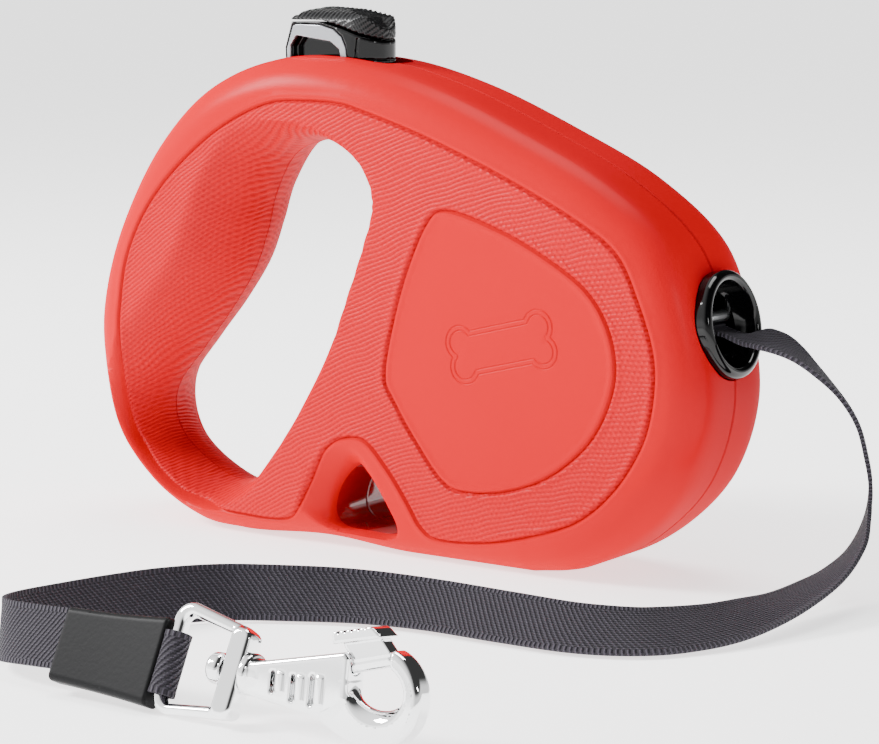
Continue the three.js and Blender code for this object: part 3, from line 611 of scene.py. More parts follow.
# ---- housing ----
def bone_loop():
    """Outline of a plain bone on the badge, anticlockwise."""
    c, s = math.cos(MOTIF_TILT), math.sin(MOTIF_TILT)
    lobes = ((1, -1, -150, 60), (1, 1, -60, 150), (-1, 1, 30, 240), (-1, -1, 120, 330))
    out = []
    for sx, sz, start, end in lobes:
        for a in np.radians(np.linspace(start, end, 22)):
            x = sx * MOTIF_LONG + MOTIF_KNOB * math.cos(a)
            z = sz * MOTIF_BAR + MOTIF_KNOB * math.sin(a)
            out.append((MOTIF_AT[0] + x * c - z * s, MOTIF_AT[1] + x * s + z * c))
    return np.array(out)


class Side:
    """Heights of the housing's outside over the x, z plane."""

    def __init__(self):
        self.outline = outline_loop(1600)
        self.hand = resample(spline(HAND_HOLE, 30), 900)
        self.lower = resample(spline(LOWER_HOLE, 30), 400)
        self.grip = resample(spline(GRIP, 24), 1400)
        self.badge = resample(spline(BADGE, 24), 700)
        self.motif = resample(bone_loop(), 260)

    def fields(self, p, depth=0.0):
        """Drop below the side face caused by the rim and by each hole."""
        d, _ = nearest(p, self.outline)
        r = SHOULDER - depth
        reach = np.clip((d - depth) / r, 0, 1)
        drop = [SHOULDER - depth - r * np.sqrt(1 - (1 - reach) ** 2)]
        for loop, straight in ((self.hand, 0), (self.lower, LOWER_STRAIGHT)):
            e, flare = nearest(p, loop)
            reach = np.clip((e - depth) / flare, 0, 1)
            opened = (1 - (1 - reach) ** LIP) ** (1 / LIP)
            drop.append((HALF - straight) * (1 - opened) - depth)
        return np.maximum(np.array(drop), 0)

    def height(self, p):
        """Distance of the outside from the parting plane, with grooves and motif."""
        drop = self.fields(p)
        y = HALF - np.minimum((drop ** RIM_BLEND).sum(0) ** (1 / RIM_BLEND), HALF)
        for loop in (self.grip, self.badge):
            d, _ = nearest(p, loop)
            y -= GROOVE_DEEP * np.clip(1 - d / GROOVE_HALF, 0, 1)
            y += BEAD * np.exp(-((d - BEAD_AT) / BEAD_WIDE) ** 2)
        d, _ = nearest(p, self.motif)
        y -= MOTIF_DEEP * np.clip(1 - np.abs(d - MOTIF_GAP) / 0.3, 0, 1)
        return np.maximum(y, SEAM)

    def drawn_in(self, amount):
        """Moves points on the edges away from the open air by an amount."""
        edges = []
        for loop, sign in ((self.outline, -1), (self.hand, 1), (self.lower, 1)):
            base = resample(loop, 4000)
            tree = kdtree.KDTree(len(base))
            for i, q in enumerate(base):
                tree.insert((q[0], q[1], 0), i)
            tree.balance()
            edges.append((loop, tree, (offset(base, sign * amount) - base)[:, :2]))

        def move(p):
            away = p.copy()
            for loop, tree, step in edges:
                for i in np.flatnonzero(nearest(p, loop)[0] < ON_EDGE):
                    away[i] = p[i] + step[tree.find((p[i, 0], p[i, 1], 0))[1]]
            return away
        return move

    def cavity(self, p):
        """Distance of the inside from the parting plane."""
        return HALF - WALL - self.fields(p, WALL).max(0)


def skin_points(side):
    """Plane points in order of importance: edges, grooves, then everything else."""
    edges = [resample(side.outline, 640), resample(side.hand, 420), resample(side.lower, 200)]
    lines = []
    for loop, count in ((side.grip, 620), (side.badge, 290)):
        line = resample(loop, count)
        for k in (0, -1, 1, -0.5, 0.5, 1.7, -1.7, 2.3, -2.3, 3, -3):
            lines.append(offset(line, k * GROOVE_HALF)[:, :2])
    motif = resample(side.motif, 200)
    lines += [offset(motif, k * 0.3)[:, :2] for k in range(-4, 5)]
    rest = [offset(edges[0], -SHOULDER * k)[:, :2] for k in ROWS + MORE_ROWS]
    for line in edges[1:]:
        rest += [offset(line, line[:, 2] * k)[:, :2] for k in ROWS]
    wide = edges[1][:, 2] > 8.5
    rest += [offset(edges[1], edges[1][:, 2] * k)[wide, :2] for k in MORE_ROWS]
    rest = np.vstack(rest)
    rest = rest[~(near_bridge(rest) & (reaches(side, rest) > 0.14))]
    coarse, fine = lattice(GRID), lattice(FINE_GRID)
    coarse = coarse[~near_bridge(coarse) & (reaches(side, coarse) > STEEP)]
    fine = fine[near_bridge(fine) & (reaches(side, fine) > STEEP_NEAR)]
    return [e[:, :2] for e in edges], np.vstack(lines), np.vstack([rest, coarse, fine])


def lattice(step):
    """Even triangle lattice over the whole side."""
    x, z = np.meshgrid(np.arange(-92, 92, step), np.arange(0, 123, step * 0.866))
    x[1::2] += step / 2
    return np.stack([x.ravel(), z.ravel()], 1)


def near_bridge(p):
    """True round the lower hole, where several curved edges run together."""
    return (p[:, 0] > -26) & (p[:, 0] < 13) & (p[:, 1] < 27)


def reaches(side, p):
    """Distance to the nearest edge, as a part of that edge's curved width."""
    e, flare = nearest(p, side.hand)
    g, other = nearest(p, side.lower)
    return np.minimum.reduce([nearest(p, side.outline)[0] / SHOULDER, e / flare, g / other])


def thinned(groups, gap):
    """Leaves out points closer than gap to one already kept, group by group."""
    kept, cells = [], {}
    for group, own in groups:
        for p in group:
            key = (int(p[0] // gap), int(p[1] // gap))
            close = own and any(
                (p[0] - q[0]) ** 2 + (p[1] - q[1]) ** 2 < gap * gap
                for i in (-1, 0, 1) for j in (-1, 0, 1)
                for q in cells.get((key[0] + i, key[1] + j), ())
            )
            if not close:
                kept.append(p)
                cells.setdefault(key, []).append(p)
    return kept


def in_material(p, loops):
    """True inside the first loop and outside the others."""
    return inside(p, loops[0]) & ~inside(p, loops[1]) & ~inside(p, loops[2])


def trimmed(verts, faces, keep):
    """The kept faces, with only their own points."""
    used = np.unique(faces[keep])
    renumber = np.zeros(len(verts), int)
    renumber[used] = np.arange(len(used))
    return verts[used], renumber[faces[keep]]


def triangles(points, loops):
    """Delaunay triangles that respect the closed loops, which come first in points."""
    edges, start = [], 0
    for loop in loops:
        n = len(loop)
        edges += [(start + i, start + (i + 1) % n) for i in range(n)]
        start += n
    flat = [Vector((float(p[0]), float(p[1]))) for p in points]
    verts, _, faces, *_ = delaunay_2d_cdt(flat, edges, [], 0, 1e-4)
    return np.array([tuple(v) for v in verts]), np.array(faces)


def boundary(faces):
    """Edges that only one triangle has, in that triangle's order."""
    ordered = faces[:, [0, 1, 1, 2, 2, 0]].reshape(-1, 2)
    _, first, uses = np.unique(np.sort(ordered, 1), axis=0, return_index=True,
                               return_counts=True)
    return ordered[first[uses == 1]]


def height_block(name, verts, faces, y, base, materials, indices, levels=(), wall=None):
    """Closed solid between a height field and a flat back.

    Each level is a height on the edge wall, and a function that moves the edge's points
    there. wall holds the material index of the wall at each point.
    """
    count, rim = len(verts), boundary(faces)
    on_rim = np.unique(rim)
    layers = [np.stack([verts[:, 0], -y, verts[:, 1]], 1)]
    rings, total = [on_rim], count
    for level, moved in levels:
        shape = moved(verts[on_rim])
        here = np.minimum(level, y[on_rim])
        layers.append(np.stack([shape[:, 0], -here, shape[:, 1]], 1))
        rings.append(np.arange(total, total + len(on_rim)))
        total += len(on_rim)
    back = np.stack([verts[:, 0], np.full(count, -base), verts[:, 1]], 1)
    if levels:
        back[on_rim, 0] = layers[-1][:, 0]
        back[on_rim, 2] = layers[-1][:, 2]
    layers.append(back)
    rings.append(total + on_rim)
    out, slots = [tuple(f) for f in faces], list(indices)
    number = {v: i for i, v in enumerate(on_rim)}
    last = len(rings) - 2
    for k, (upper, lower) in enumerate(zip(rings, rings[1:])):
        for a, b in rim:
            i, j = number[a], number[b]
            out.append((upper[i], lower[i], lower[j], upper[j]))
            slots.append(0 if wall is None or k == last else wall[a])
    out += [tuple(total + v for v in reversed(f)) for f in faces]
    slots += [0] * len(faces)
    obj = new_mesh(name, np.vstack(layers), out, materials, slots, smooth=False)
    outward(obj)
    return obj


def outer_block(name, side, materials):
    """One half's outside as a solid block, before it is hollowed."""
    loops, lines, rest = skin_points(side)
    d_edge = np.minimum.reduce([
        nearest(rest, loop)[0] for loop in (side.outline, side.hand, side.lower)
    ])
    d_line = np.minimum(nearest(rest, side.grip)[0], nearest(rest, side.badge)[0])
    d_motif = nearest(rest, side.motif)[0]
    rest = rest[(d_edge > 0.04) & (d_line > 3.4 * GROOVE_HALF) & (d_motif > 1.5)]
    groups = [(loop, False) for loop in loops] + [(lines, True), (rest, True)]
    verts, faces = triangles(thinned(groups, LEAST_GAP), loops)
    verts, faces = trimmed(verts, faces, in_material(verts[faces].mean(1), loops))
    middle = verts[faces].mean(1)
    in_badge = inside(middle, side.badge)
    in_grip = inside(middle, side.grip) & ~in_badge
    slots = np.where(in_badge, 2, np.where(in_grip, 1, 0))
    wall = np.where(nearest(verts, side.lower)[0] < ON_EDGE, 3, 0)
    levels = [(y, side.drawn_in(0)) for y in (6.0, 4.0, 2.0, SEAM + 0.35)]
    levels.append((SEAM, side.drawn_in(SEAM_DEEP)))
    return height_block(name, verts, faces, side.height(verts), SEAM - 0.1, materials,
                        slots, levels, wall)


def cavity_block(side, material):
    """What is hollow inside one half."""
    loops = [
        offset(resample(side.outline, 200), -WALL)[:, :2],
        offset(resample(side.hand, 110), WALL)[:, :2],
        offset(resample(side.lower, 50), WALL)[:, :2],
    ]
    x, z = np.meshgrid(np.arange(-92, 92, 3.0), np.arange(2, 123, 3.0))
    rest = [np.stack([x.ravel(), z.ravel()], 1)]
    rest += [offset(resample(side.outline, 160), -WALL - k)[:, :2] for k in (0.4, 1.5, 4, 7)]
    points = np.vstack(loops + rest)
    verts, faces = triangles(points, loops)
    middle = verts[faces].mean(1)
    keep = in_material(middle, loops) & (nearest(middle, side.outline)[0] > WALL)
    verts, faces = trimmed(verts, faces, keep)
    y = np.clip(side.cavity(verts), 1, HALF - WALL)
    return height_block("cavity", verts, faces, y, -1.0, [material], [0] * len(faces))


def slot_cutter(material):
    """Opening for the button in the top of the housing, with rounded front corners."""
    corners = [(SLOT_REAR, SLOT_HALF), (SLOT_REAR, -SLOT_HALF)]
    middle = SLOT_HALF - SLOT_CORNER
    for side, start in ((-1, -90), (1, 0)):
        for k in range(7):
            a = math.radians(start + 15 * k)
            corners.append((SLOT_FRONT - SLOT_CORNER + SLOT_CORNER * math.cos(a),
                            side * middle + SLOT_CORNER * math.sin(a)))
    return extruded("slot", corners, 112, 130, material)


def nozzle_axis():
    return Vector((math.cos(NOZZLE_TILT), 0, math.sin(NOZZLE_TILT)))


def make_housing(mats):
    side = Side()
    red = mats["red_satin"]
    skins = [red, mats["red_grip"], mats["red_badge"], mats["red_gloss"]]
    right = outer_block("shell_right", side, skins)
    cavity = cavity_block(side, red)
    axis = nozzle_axis()
    seat = cylinder("seat", NOZZLE, axis, SEAT_R, -2.2, 12, 96, red)
    neck = cylinder("neck", NOZZLE, axis, NECK_R, -18, 1, 64, red)
    take_away(right, cavity, seat, neck, slot_cutter(red))
    left = right.copy()
    left.data = right.data.copy()
    left.name = "shell_left"
    bpy.context.scene.collection.objects.link(left)
    flip(left)
    across = (0, 1, 0)
    take_away(left, *(
        cylinder("bore", (x, 0, z), across, SCREW_BORE, SCREW_SEAT, HALF + 2, 40, red)
        for x, z in SCREWS
    ))
    for obj, node in ((right, "right"), (left, "left")):
        obj.data.shade_smooth()
        obj.data.set_sharp_from_angle(angle=math.radians(26))
        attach(obj, "housing")
        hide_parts("housing_" + node, "badge_" + node)


def flip(obj):
    """Mirrors the mesh to the other side of the parting plane."""
    work = bmesh.new()
    work.from_mesh(obj.data)
    for v in work.verts:
        v.co.y = -v.co.y
    bmesh.ops.reverse_faces(work, faces=work.faces)
    work.to_mesh(obj.data)
    work.free()


# ---- tape ----
def tape_frames(rows, per):
    """Centre points, directions and edge directions along the tape."""
    dense = spline(rows, per, closed=False)
    line, edge = dense[:, :3], dense[:, 3:]
    tangent = unit(np.gradient(line, axis=0))
    edge = unit(edge - (edge * tangent).sum(1)[:, None] * tangent)
    return line, edge, np.cross(tangent, edge)


def ribbon(name, line, edge, normal, wide, thick, material):
    """Flat tape with rounded, slightly thicker edges and a map in millimetres."""
    w, t = wide / 2, thick / 2
    top = [(v * w, t * (1.0 if abs(v) > 0.8 else TAPE_BODY)) for v in
           (0.985, 0.93, 0.84, 0.78, 0.5, 0.25, 0, -0.25, -0.5, -0.78, -0.84, -0.93, -0.985)]
    section = [(w, 0.3 * t)] + top + [(-w, 0.3 * t), (-w, -0.3 * t)]
    section += [(v, -h) for v, h in reversed(top)] + [(w, -0.3 * t)]
    n = len(section)
    verts = []
    for p, e, m in zip(line, edge, normal):
        verts += [tuple(p + e * a + m * b) for a, b in section]
    faces = ring_faces(len(line), n)
    faces += [tuple(range(n)), tuple(range(len(verts) - n, len(verts)))]
    obj = new_mesh(name, verts, faces, [material], sharp=50)
    outward(obj)
    steps = np.linalg.norm(np.diff(line, axis=0), axis=1)
    along = np.concatenate([[0], np.cumsum(steps)])
    layer = obj.data.uv_layers.new(name="map")
    index = np.zeros(len(obj.data.loops), np.int32)
    obj.data.loops.foreach_get("vertex_index", index)
    across = np.array([a for a, _ in section])
    layer.data.foreach_set(
        "uv", np.stack([along[index // n], across[index % n]], 1).ravel().astype(np.float32)
    )
    return obj, along[-1]


def make_tape(mats):
    """The free tape, its centre line and its length."""
    line, edge, normal = tape_frames(ROUTE, 16)
    obj, length = ribbon("tape", line, edge, normal, TAPE_WIDE, TAPE_THICK, mats["webbing"])
    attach(obj, "housing")
    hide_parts("tape_free")
    return obj, line, length


# ---- cast pieces from distance fields ----
def surface_net(field, low, high, cell):
    """Quads round the zero level of a field of u, n, s arrays, moved onto it exactly."""
    axes = [np.arange(a, b + cell, cell) for a, b in zip(low, high)]
    grid = np.meshgrid(*axes, indexing="ij")
    value = field(*grid)
    solid = value < 0
    corners = np.zeros([n - 1 for n in solid.shape], int)
    for i in (0, 1):
        for j in (0, 1):
            for k in (0, 1):
                part = solid[i:i + corners.shape[0], j:j + corners.shape[1],
                             k:k + corners.shape[2]]
                corners += part
    mixed = (corners > 0) & (corners < 8)
    number = np.full(corners.shape, -1)
    number[mixed] = np.arange(mixed.sum())
    at = np.argwhere(mixed)
    verts = np.stack([axes[k][at[:, k]] + cell / 2 for k in range(3)], 1)
    faces = []
    for axis in range(3):
        a = np.moveaxis(solid, axis, 0)
        num = np.moveaxis(number, axis, 0)
        change = a[:-1, 1:-1, 1:-1] != a[1:, 1:-1, 1:-1]
        i, j, k = np.nonzero(change)
        quad = np.stack([num[i, j, k], num[i, j + 1, k], num[i, j + 1, k + 1],
                         num[i, j, k + 1]], 1)
        out = a[i, j + 1, k + 1]
        if axis == 1:
            out = ~out
        quad[~out] = quad[~out][:, ::-1]
        faces.append(quad)
    faces = np.vstack(faces)
    step = cell * 0.1
    for _ in range(6):
        here = field(*verts.T)
        slope = np.stack([
            (field(*(verts + d).T) - field(*(verts - d).T)) / (2 * step)
            for d in np.eye(3) * step
        ], 1)
        size = np.maximum((slope ** 2).sum(1), 0.05)
        move = -(here / size)[:, None] * slope
        verts = verts + np.clip(move, -cell, cell) * 0.8
    return verts, faces


def leaned(points, origin, lean):
    """From u, n, s on a leaning plane to the row frame."""
    p = np.asarray(points, float)
    c, s = math.cos(lean), math.sin(lean)
    return np.stack([
        origin[0] + p[:, 0],
        origin[1] + p[:, 1] * c + p[:, 2] * s,
        origin[2] - p[:, 1] * s + p[:, 2] * c,
    ], 1)


def on_ring(points):
    return leaned(points, FITTING, LEAN)


def on_hook(points):
    return leaned(points, on_ring([(0, 0, SWIVEL_S)])[0], HOOK_LEAN)


def cast(name, field, low, high, cell, material, place):
    """Piece whose surface is the zero level of a field, in a box of small cells."""
    verts, faces = surface_net(field, low, high, cell)
    obj = new_mesh(name, place(verts), faces, [material])
    outward(obj)
    return obj


def cast_all(mats, pieces):
    """Casts rows of name, field, box, cell, material, place, body, node and slot; the slot is
    not used.
    """
    made = []
    for name, field, low, high, cell, material, place, body, node, slot in pieces:
        obj = cast(name, field, low, high, cell, mats[material], place)
        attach(obj, body)
        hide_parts(node)
        made.append(obj)
    return made


def polygon_field(u, s, corners):
    """Signed distance to a polygon in a plane."""
    shape = u.shape
    u, s = u.ravel(), s.ravel()
    best = np.full(u.shape, 1e9)
    pts = np.array(corners, float)
    for (x0, y0), (x1, y1) in zip(pts, np.roll(pts, -1, 0)):
        ex, ey = x1 - x0, y1 - y0
        wx, wy = u - x0, s - y0
        t = np.clip((wx * ex + wy * ey) / (ex * ex + ey * ey), 0, 1)
        best = np.minimum(best, (wx - ex * t) ** 2 + (wy - ey * t) ** 2)
    within = inside(np.stack([u, s], 1), pts)
    return (np.sqrt(best) * np.where(within, -1, 1)).reshape(shape)


def both(a, b, r):
    """Intersection of two shapes, with the edges between them rounded by r."""
    outside = np.hypot(np.maximum(a + r, 0), np.maximum(b + r, 0))
    return outside + np.minimum(np.maximum(a + r, b + r), 0) - r


def thick(flat, n, half, r):
    """Plate of a plane field with rounded edges."""
    return both(flat, np.abs(n) - half, r)


def merge(a, b, k=0.5):
    """Union with a fillet of about k."""
    h = np.clip(0.5 + 0.5 * (b - a) / k, 0, 1)
    return b * (1 - h) + a * h - k * h * (1 - h)


def carve(a, b, k=0.3):
    """a without b, with a rounded edge."""
    return -merge(-a, b, k)


def rod_field(along, r2, from_, to, r, edge=0.3):
    """Round bar with rounded ends, from distance along and squared distance from its axis."""
    ends = np.abs(along - (from_ + to) / 2) - (to - from_) / 2
    return both(np.sqrt(r2) - r, ends, edge)


def inset(corners, r):
    """A convex polygon's corners after its sides move in by r."""
    pts = [Vector(p) for p in corners]
    out = []
    for a, b, c in zip(pts[-1:] + pts, pts, pts[1:] + pts[:1]):
        into, away = (b - a).normalized(), (c - b).normalized()
        turn = into.x * away.y - into.y * away.x
        out.append(b + (away - into) * (r / turn))
    return [tuple(p) for p in out]


def rounded_field(u, s, corners, r):
    """Distance to a convex anticlockwise polygon with its corners rounded."""
    return polygon_field(u, s, inset(corners, r)) - r


def ring_field(u, n, s):
    """Rounded frame with a thicker bar on the hook's side, bored for the swivel."""
    outer = rounded_field(u, s, RING_OUTER, 4)
    window = rounded_field(u, s, RING_WINDOW, 1.6)
    body = thick(np.maximum(outer, -window), n, RING_HALF, 1.3)
    bar = thick(rounded_field(u, s, RING_BAR, 2), n, BAR_HALF, 1.0)
    bore = rod_field(u, n ** 2 + (s - SWIVEL_S) ** 2, -12, 3, SWIVEL_BORE)
    return carve(merge(body, bar, 1.0), bore, 0.2)


def rivet_field(u, n, s):
    """Swivel post with a dented head inside the ring."""
    r2 = n ** 2 + s ** 2
    head = rod_field(u, r2, -9.1, -5.75, 3.2, 1.2)
    dent = np.sqrt(r2 + (u + 10.2) ** 2) - 1.9
    return np.minimum(carve(head, dent, 0.4), rod_field(u, r2, -8, -0.5, POST_R, 0.1))


def on_gate(along):
    """Point on the gate's axis in the row frame."""
    u = GATE_U + along * math.cos(GATE_RISE)
    s = GATE_S + along * math.sin(GATE_RISE)
    return Vector(on_hook([(u, 0, s)])[0])


def gate_line(u, s):
    """Distance along the gate's axis, and height above it."""
    du, ds = u - GATE_U, s - GATE_S
    along = du * math.cos(GATE_RISE) + ds * math.sin(GATE_RISE)
    return along, ds * math.cos(GATE_RISE) - du * math.sin(GATE_RISE)


def eye_field(u, n, s):
    """The hook's open eye and the web that joins it to the body."""
    outer = np.hypot(u - EYE_U, s - EYE_S) - EYE_R
    outer = merge(outer, polygon_field(u, s, HOOK_WEB), 0.8)
    more = 2.3 * (np.abs(n) / EYE_HALF) ** 2
    across = (u - HOLE_U) / (HOLE_RU + more / 8)
    up = (s - HOLE_S + more / 2) / (HOLE_RS + more / 2)
    hole = (np.hypot(across, up) - 1) * HOLE_RS
    mouth = np.maximum(np.maximum(u - EYE_TIP, HOLE_S - s), 10 - u)
    disc = thick(outer, n, EYE_HALF, 1.4)
    return carve(carve(disc, hole, 0.6), mouth, 0.6), hole


def hook_field(u, n, s):
    """Hook with collar and neck, a rib beside each slot, and a bore for the gate."""
    body = thick(polygon_field(u, s, HOOK_BODY), n, HOOK_HALF, 0.9)
    for at, low, high in HOOK_SLOTS:
        along = np.maximum(np.abs(s - (low + high) / 2) - (high - low) / 2, 0)
        slot = np.hypot(u - at, along)
        body = carve(body, np.maximum(slot - 0.55, 0.6 - np.abs(n)), 0.2)
        rib = np.hypot(np.maximum(np.abs(u - at - 1.9) - 0.45, 0), along)
        body = merge(body, np.hypot(rib, np.abs(n) - 2.8) - 0.55, 0.3)
    collar = rod_field(u, n ** 2 + s ** 2, -0.2, 1.8, COLLAR_R, 0.7)
    neck = rod_field(u, n ** 2 + s ** 2, 1.2, 4.2, HOOK_NECK_R, 0.9)
    body = merge(merge(body, neck, 0.5), collar, 0.5)
    eye, hole = eye_field(u, n, s)
    solid = carve(merge(body, eye, 0.5), np.maximum(hole, 25.9 - u), 0.4)
    along, up = gate_line(u, s)
    solid = carve(solid, rod_field(along, up ** 2 + n ** 2, -20.5, 3, GATE_R + 0.3), 0.15)
    track = np.maximum(np.abs(n) - 1.8, np.abs(along + 3.2) - 5.2)
    return carve(solid, np.maximum(track, -up), 0.2)


def gate_field(u, n, s):
    """Gate bolt with its stem and a ridged thumb piece."""
    along, up = gate_line(u, s)
    bar = rod_field(along, up ** 2 + n ** 2, -4, 8.7, GATE_R, 0.4)
    stem = thick(polygon_field(along, up, GATE_STEM), n, 1.5, 0.3)
    tab = thick(polygon_field(along, up, GATE_TAB), n, 3, 0.4)
    grips = np.abs(np.mod(along + 0.6, 1.6) - 0.8) - 0.3
    tab = carve(tab, np.maximum(grips, 6.35 - up), 0.2)
    return merge(merge(bar, stem, 0.3), tab, 0.3)


def sleeve_field(u, n, s):
    """Tapered rounded sleeve with a slightly raised rim at the ring's end."""
    part = np.clip((u - SLEEVE_FROM) / (SLEEVE_TO - SLEEVE_FROM), 0, 1)
    tall = (SLEEVE_TALL[0] + (SLEEVE_TALL[1] - SLEEVE_TALL[0]) * part) / 2
    waist = SLEEVE_WAIST * np.sin(math.pi * part)
    flat = both(np.abs(s - SLEEVE_S) - tall + waist,
                np.abs(n) - SLEEVE_HALF + waist * 0.8, 1.3)
    ends = np.abs(u - (SLEEVE_FROM + SLEEVE_TO) / 2) - (SLEEVE_TO - SLEEVE_FROM) / 2
    return both(flat, ends, 0.5)


def make_fitting(mats):
    """Sleeve, ring, swivel, hook, gate and turned tape."""
    made = cast_all(mats, (
        ("sleeve_moulded", sleeve_field, (-49, -3.6, -13), (-20.6, 3.6, 8.4), 0.34,
         "rubber", on_ring, "housing", "sleeve", "sleeve_rubber"),
        ("ring_cast", ring_field, (-23, -3.8, -13.4), (0.6, 3.8, 13), 0.26,
         "chrome", on_ring, "ring", "ring", "chrome"),
        ("rivet_turned", rivet_field, (-10.2, -4.2, -4.2), (0.6, 4.2, 4.2), 0.22,
         "chrome", on_hook, "hook", "swivel_rivet", "chrome"),
        ("hook_cast", hook_field, (-1.2, -5, -10.6), (43.2, 5, 11.4), 0.24,
         "chrome", on_hook, "hook", "hook_body", "chrome"),
        ("gate_cast", gate_field, (19.5, -4, 2), (36, 4, 15), 0.22,
         "chrome", on_hook, "gate", "gate_bolt", "chrome"),
    ))
    return made + [make_loop(mats)]


def make_loop(mats):
    """Tape turned round the ring's bar, from one side of the sleeve's end to the other."""
    reach = LOOP_U - SLEEVE_TO - 0.3
    end = math.pi - math.acos(reach / LOOP_R)
    a = np.linspace(-end, end, 41)
    flat = np.stack([LOOP_U + LOOP_R * np.cos(a), LOOP_R * np.sin(a), 0 * a + LOOP_S], 1)
    line = on_ring(flat)
    tangent = unit(np.gradient(line, axis=0))
    edge = np.tile(on_ring([(0, 0, 1)]) - on_ring([(0, 0, 0)]), (len(a), 1))
    obj, _ = ribbon("loop", line, -edge, np.cross(tangent, -edge), TAPE_WIDE, LOOP_THICK,
                    mats["webbing"])
    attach(obj, "housing")
    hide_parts("tape_loop")
    return obj


# ---- brake button ----
def button_plan(x, y):
    """Distance from above to a block with a half-round front."""
    front = np.hypot(x - BUTTON_NOSE, y) - BUTTON_HALF
    back = np.maximum(np.abs(y) - BUTTON_HALF, BUTTON_REAR - x)
    return np.where(x > BUTTON_NOSE, front, back)


def button_field(x, y, z):
    """Button block with pockets for the side frames, a slit at the nose and a seam."""
    block = both(button_plan(x, y), polygon_field(x, z, BUTTON_SIDE), 0.5)
    pocket = np.maximum(polygon_field(x, z, FRAME_OUTER) - 0.3, 6.3 - np.abs(y))
    block = carve(block, pocket, 0.1)
    recess = np.maximum(polygon_field(x, z, FRAME_INNER), 4.5 - np.abs(y))
    block = carve(block, recess, 0.2)
    plan = button_plan(x, y)
    slit = np.maximum(np.abs(x + 14.4 - 0.1 * (z - 117)) - 0.35, np.abs(z - 121.5) - 7)
    block = carve(block, np.maximum(slit, -0.6 - plan), 0.15)
    seam = np.maximum(np.abs(z - 123.2) - 0.14, -0.3 - plan)
    return carve(block, np.maximum(seam, -13.4 - x), 0.05)


def cap_field(x, y, z):
    """Domed cap with saw-toothed ridges across its top and smaller ones on its flanks."""
    crown = z + 0.03 * y ** 2 + 0.0006 * y ** 4 - 136.4
    top = both(button_plan(x, y), np.maximum(polygon_field(x, z, CAP_SIDE), crown), 0.5)
    tooth = np.mod((x + 0.3 * np.abs(y)) / 1.3, 1.0)
    ridge = np.where(tooth < 0.75, tooth / 0.75, (1 - tooth) / 0.25)
    flank = np.clip((-1.2 - button_plan(x, y)) / -1.0, 0, 1)
    around = x - 0.9 * np.abs(y)
    fine = 0.5 + 0.5 * np.sin(4.4 * around) * np.sin(4.4 * z + 2.2 * around)
    deep = (1 - flank) * 0.5 * (1 - ridge) + flank * 0.3 * fine
    upper = np.clip((z - (132.4 + 0.33 * np.minimum(-24.6 - x, 0))) / 0.6, 0, 1)
    return top + deep * upper


def frame_field(x, y, z):
    """The two painted side frames; each is cast from its own half of the field."""
    shape = np.maximum(polygon_field(x, z, FRAME_OUTER), -polygon_field(x, z, FRAME_INNER))
    return both(shape, np.abs(np.abs(y) - 7.05) - 0.45, 0.22)


def make_button(mats):
    high = (-6.4, 8.4, 137.4)
    cast_all(mats, (
        ("button_moulded", button_field, (-37, -8.4, 115), high, 0.3,
         "black_gloss", np.asarray, "button", "brake_button", "black_gloss"),
        ("cap_ridged", cap_field, (-37, -8.4, 126.6), high, 0.24,
         "black_knurl", np.asarray, "button", "button_cap", "black_matt"),
        ("frame_right_painted", frame_field, (-36.2, -8.2, 116.2), (-14.6, -5.9, 132.8), 0.24,
         "silver_paint", np.asarray, "button", "button_frame_right", "silver_plastic"),
        ("frame_left_painted", frame_field, (-36.2, 5.9, 116.2), (-14.6, 8.2, 132.8), 0.24,
         "silver_paint", np.asarray, "button", "button_frame_left", "silver_plastic"),
    ))


# ---- nozzle ----
def make_nozzle(mats):
    """Turned ring with a rounded lip and a throat that narrows."""
    profile = [(13, -2), (13, 0.1)]
    for k in range(1, 9):
        a = math.radians(90 * k / 8)
        profile.append((11.4 + 1.6 * math.cos(a), 0.3 + 1.6 * math.sin(a)))
    for k in range(1, 7):
        a = math.radians(90 + 80 * k / 6)
        profile.append((11.4 + 1.2 * math.cos(a), 0.7 + 1.2 * math.sin(a)))
    profile += [(10.0, -0.4), (9.6, -1.5), (9.3, -2.3), (8.9, -2.9), (8.4, -3.4), (8.4, -9),
                (10.9, -9), (10.9, -2)]
    obj = turned("nozzle", profile, 128, mats["black_gloss"], NOZZLE, nozzle_axis())
    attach(obj, "housing")
    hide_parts("nozzle_ring")


# ---- springs ----
def helix(name, start, axis, length, r, wire, turns, material):
    """Coiled wire along an axis, from its lower end."""
    steps, ring = turns * 28, 8
    turn, up, verts = towards(axis), Vector((0, 0, 1)), []
    for i in range(steps + 1):
        a = 2 * math.pi * turns * i / steps
        out = Vector((math.cos(a), math.sin(a), 0))
        centre = out * r + up * (length * i / steps)
        for k in range(ring):
            b = 2 * math.pi * k / ring
            p = centre + (out * math.cos(b) + up * math.sin(b)) * wire
            verts.append(turn @ p + Vector(start))
    faces = ring_faces(steps + 1, ring)
    faces += [tuple(range(ring)), tuple(range(len(verts) - ring, len(verts)))]
    obj = new_mesh(name, verts, faces, [material])
    outward(obj)
    return obj


def make_springs(mats):
    """Both coils. The gate's coil is returned."""
    press = helix("return_coil", RETURN_FOOT, (0, 0, 1), RETURN_LONG, 4, RETURN_WIRE, 3,
                  mats["steel"])
    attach(press, "brake")
    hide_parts("return_spring")
    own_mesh(press)
    back, front = (on_gate(along) for along in GATE_SPRING)
    along = front - back
    gate = helix("gate_coil", back, along, along.length, 1.1, 0.3, 8, mats["steel"])
    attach(gate, "hook")
    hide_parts("gate_spring")
    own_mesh(gate)
    return gate


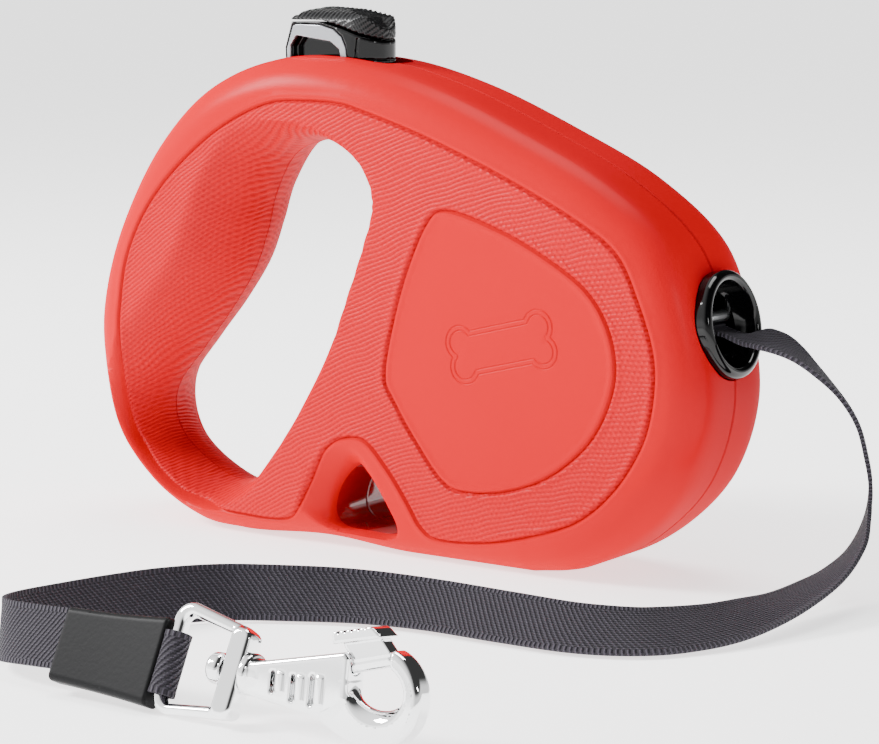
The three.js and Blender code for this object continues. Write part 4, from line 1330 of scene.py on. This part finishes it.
# ---- everything else keeps its frame shape ----
PLAIN = {
    "guide_pin": "steel", "axle_pin": "steel", "spring_cup": "grey_plastic",
    "power_spring": "steel", "spool_drum": "grey_plastic", "spool_flange": "grey_plastic",
    "brake_carrier": "black_knurl", "brake_shoe": "grey_plastic",
    "tape_roll": "webbing_plain", "tape_feed": "webbing_plain",
}


def dress_frame(mats):
    """Gives the frame's own meshes that stay visible their materials."""
    names = dict(PLAIN, **{f"housing_screw_{i}": "steel" for i in range(1, 6)})
    for node, material in names.items():
        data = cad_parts[node].data
        data.materials.clear()
        data.materials.append(mats[material])


# ---- stage ----
def make_world():
    """A soft room: bright low down, and in front to the left; dim behind and above."""
    world = bpy.data.worlds.new("studio")
    world.use_nodes = True
    tree = world.node_tree
    coords = tree.nodes.new("ShaderNodeTexCoord")

    def along(direction, start, stop, low, high):
        """A level that rises smoothly as the view turns towards a direction."""
        toward = tree.nodes.new("ShaderNodeVectorMath")
        toward.operation = "DOT_PRODUCT"
        toward.inputs[1].default_value = Vector(direction).normalized()
        tree.links.new(coords.outputs["Generated"], toward.inputs[0])
        level = tree.nodes.new("ShaderNodeMapRange")
        level.interpolation_type = "SMOOTHSTEP"
        for name, value in (("From Min", start), ("From Max", stop),
                            ("To Min", low), ("To Max", high)):
            level.inputs[name].default_value = value
        tree.links.new(toward.outputs["Value"], level.inputs["Value"])
        return level.outputs[0]

    total = tree.nodes.new("ShaderNodeMath")
    tree.links.new(along((-0.8, -0.5, 0.4), 0.1, 0.95, 0.05, 1.9), total.inputs[0])
    tree.links.new(along((0, 0, -1), -0.3, -0.12, 0.0, 1.1), total.inputs[1])
    tree.links.new(total.outputs[0], tree.nodes["Background"].inputs["Strength"])
    tree.nodes["Background"].inputs["Color"].default_value = (1, 1, 1, 1)
    bpy.context.scene.world = world


def make_stage():
    """Floor, world and three soft lamps; lengths are in metres here."""
    bpy.ops.mesh.primitive_plane_add(size=60, location=(0, 0, -0.0002))
    floor = bpy.context.object
    floor.name = "floor"
    floor.data.materials.append(floor_material())
    make_world()
    for name, place, size, power in LAMPS:
        data = bpy.data.lights.new(name, "AREA")
        data.size = size
        data.energy = power
        add_aimed(name, data, place, LAMPS_AT - Vector(place))


# ---- build ----
make_camera()
mats = {make.__name__: make() for make in (
    red_satin, red_grip, red_badge, red_gloss, black_gloss, black_knurl,
    silver_paint, grey_plastic, steel, chrome, rubber, webbing, webbing_plain,
)}
make_stage()
dress_frame(mats)
tape, tape_line, tape_length = make_tape(mats)
fitting = make_fitting(mats)
make_housing(mats)
make_nozzle(mats)
make_button(mats)
gate_coil = make_springs(mats)
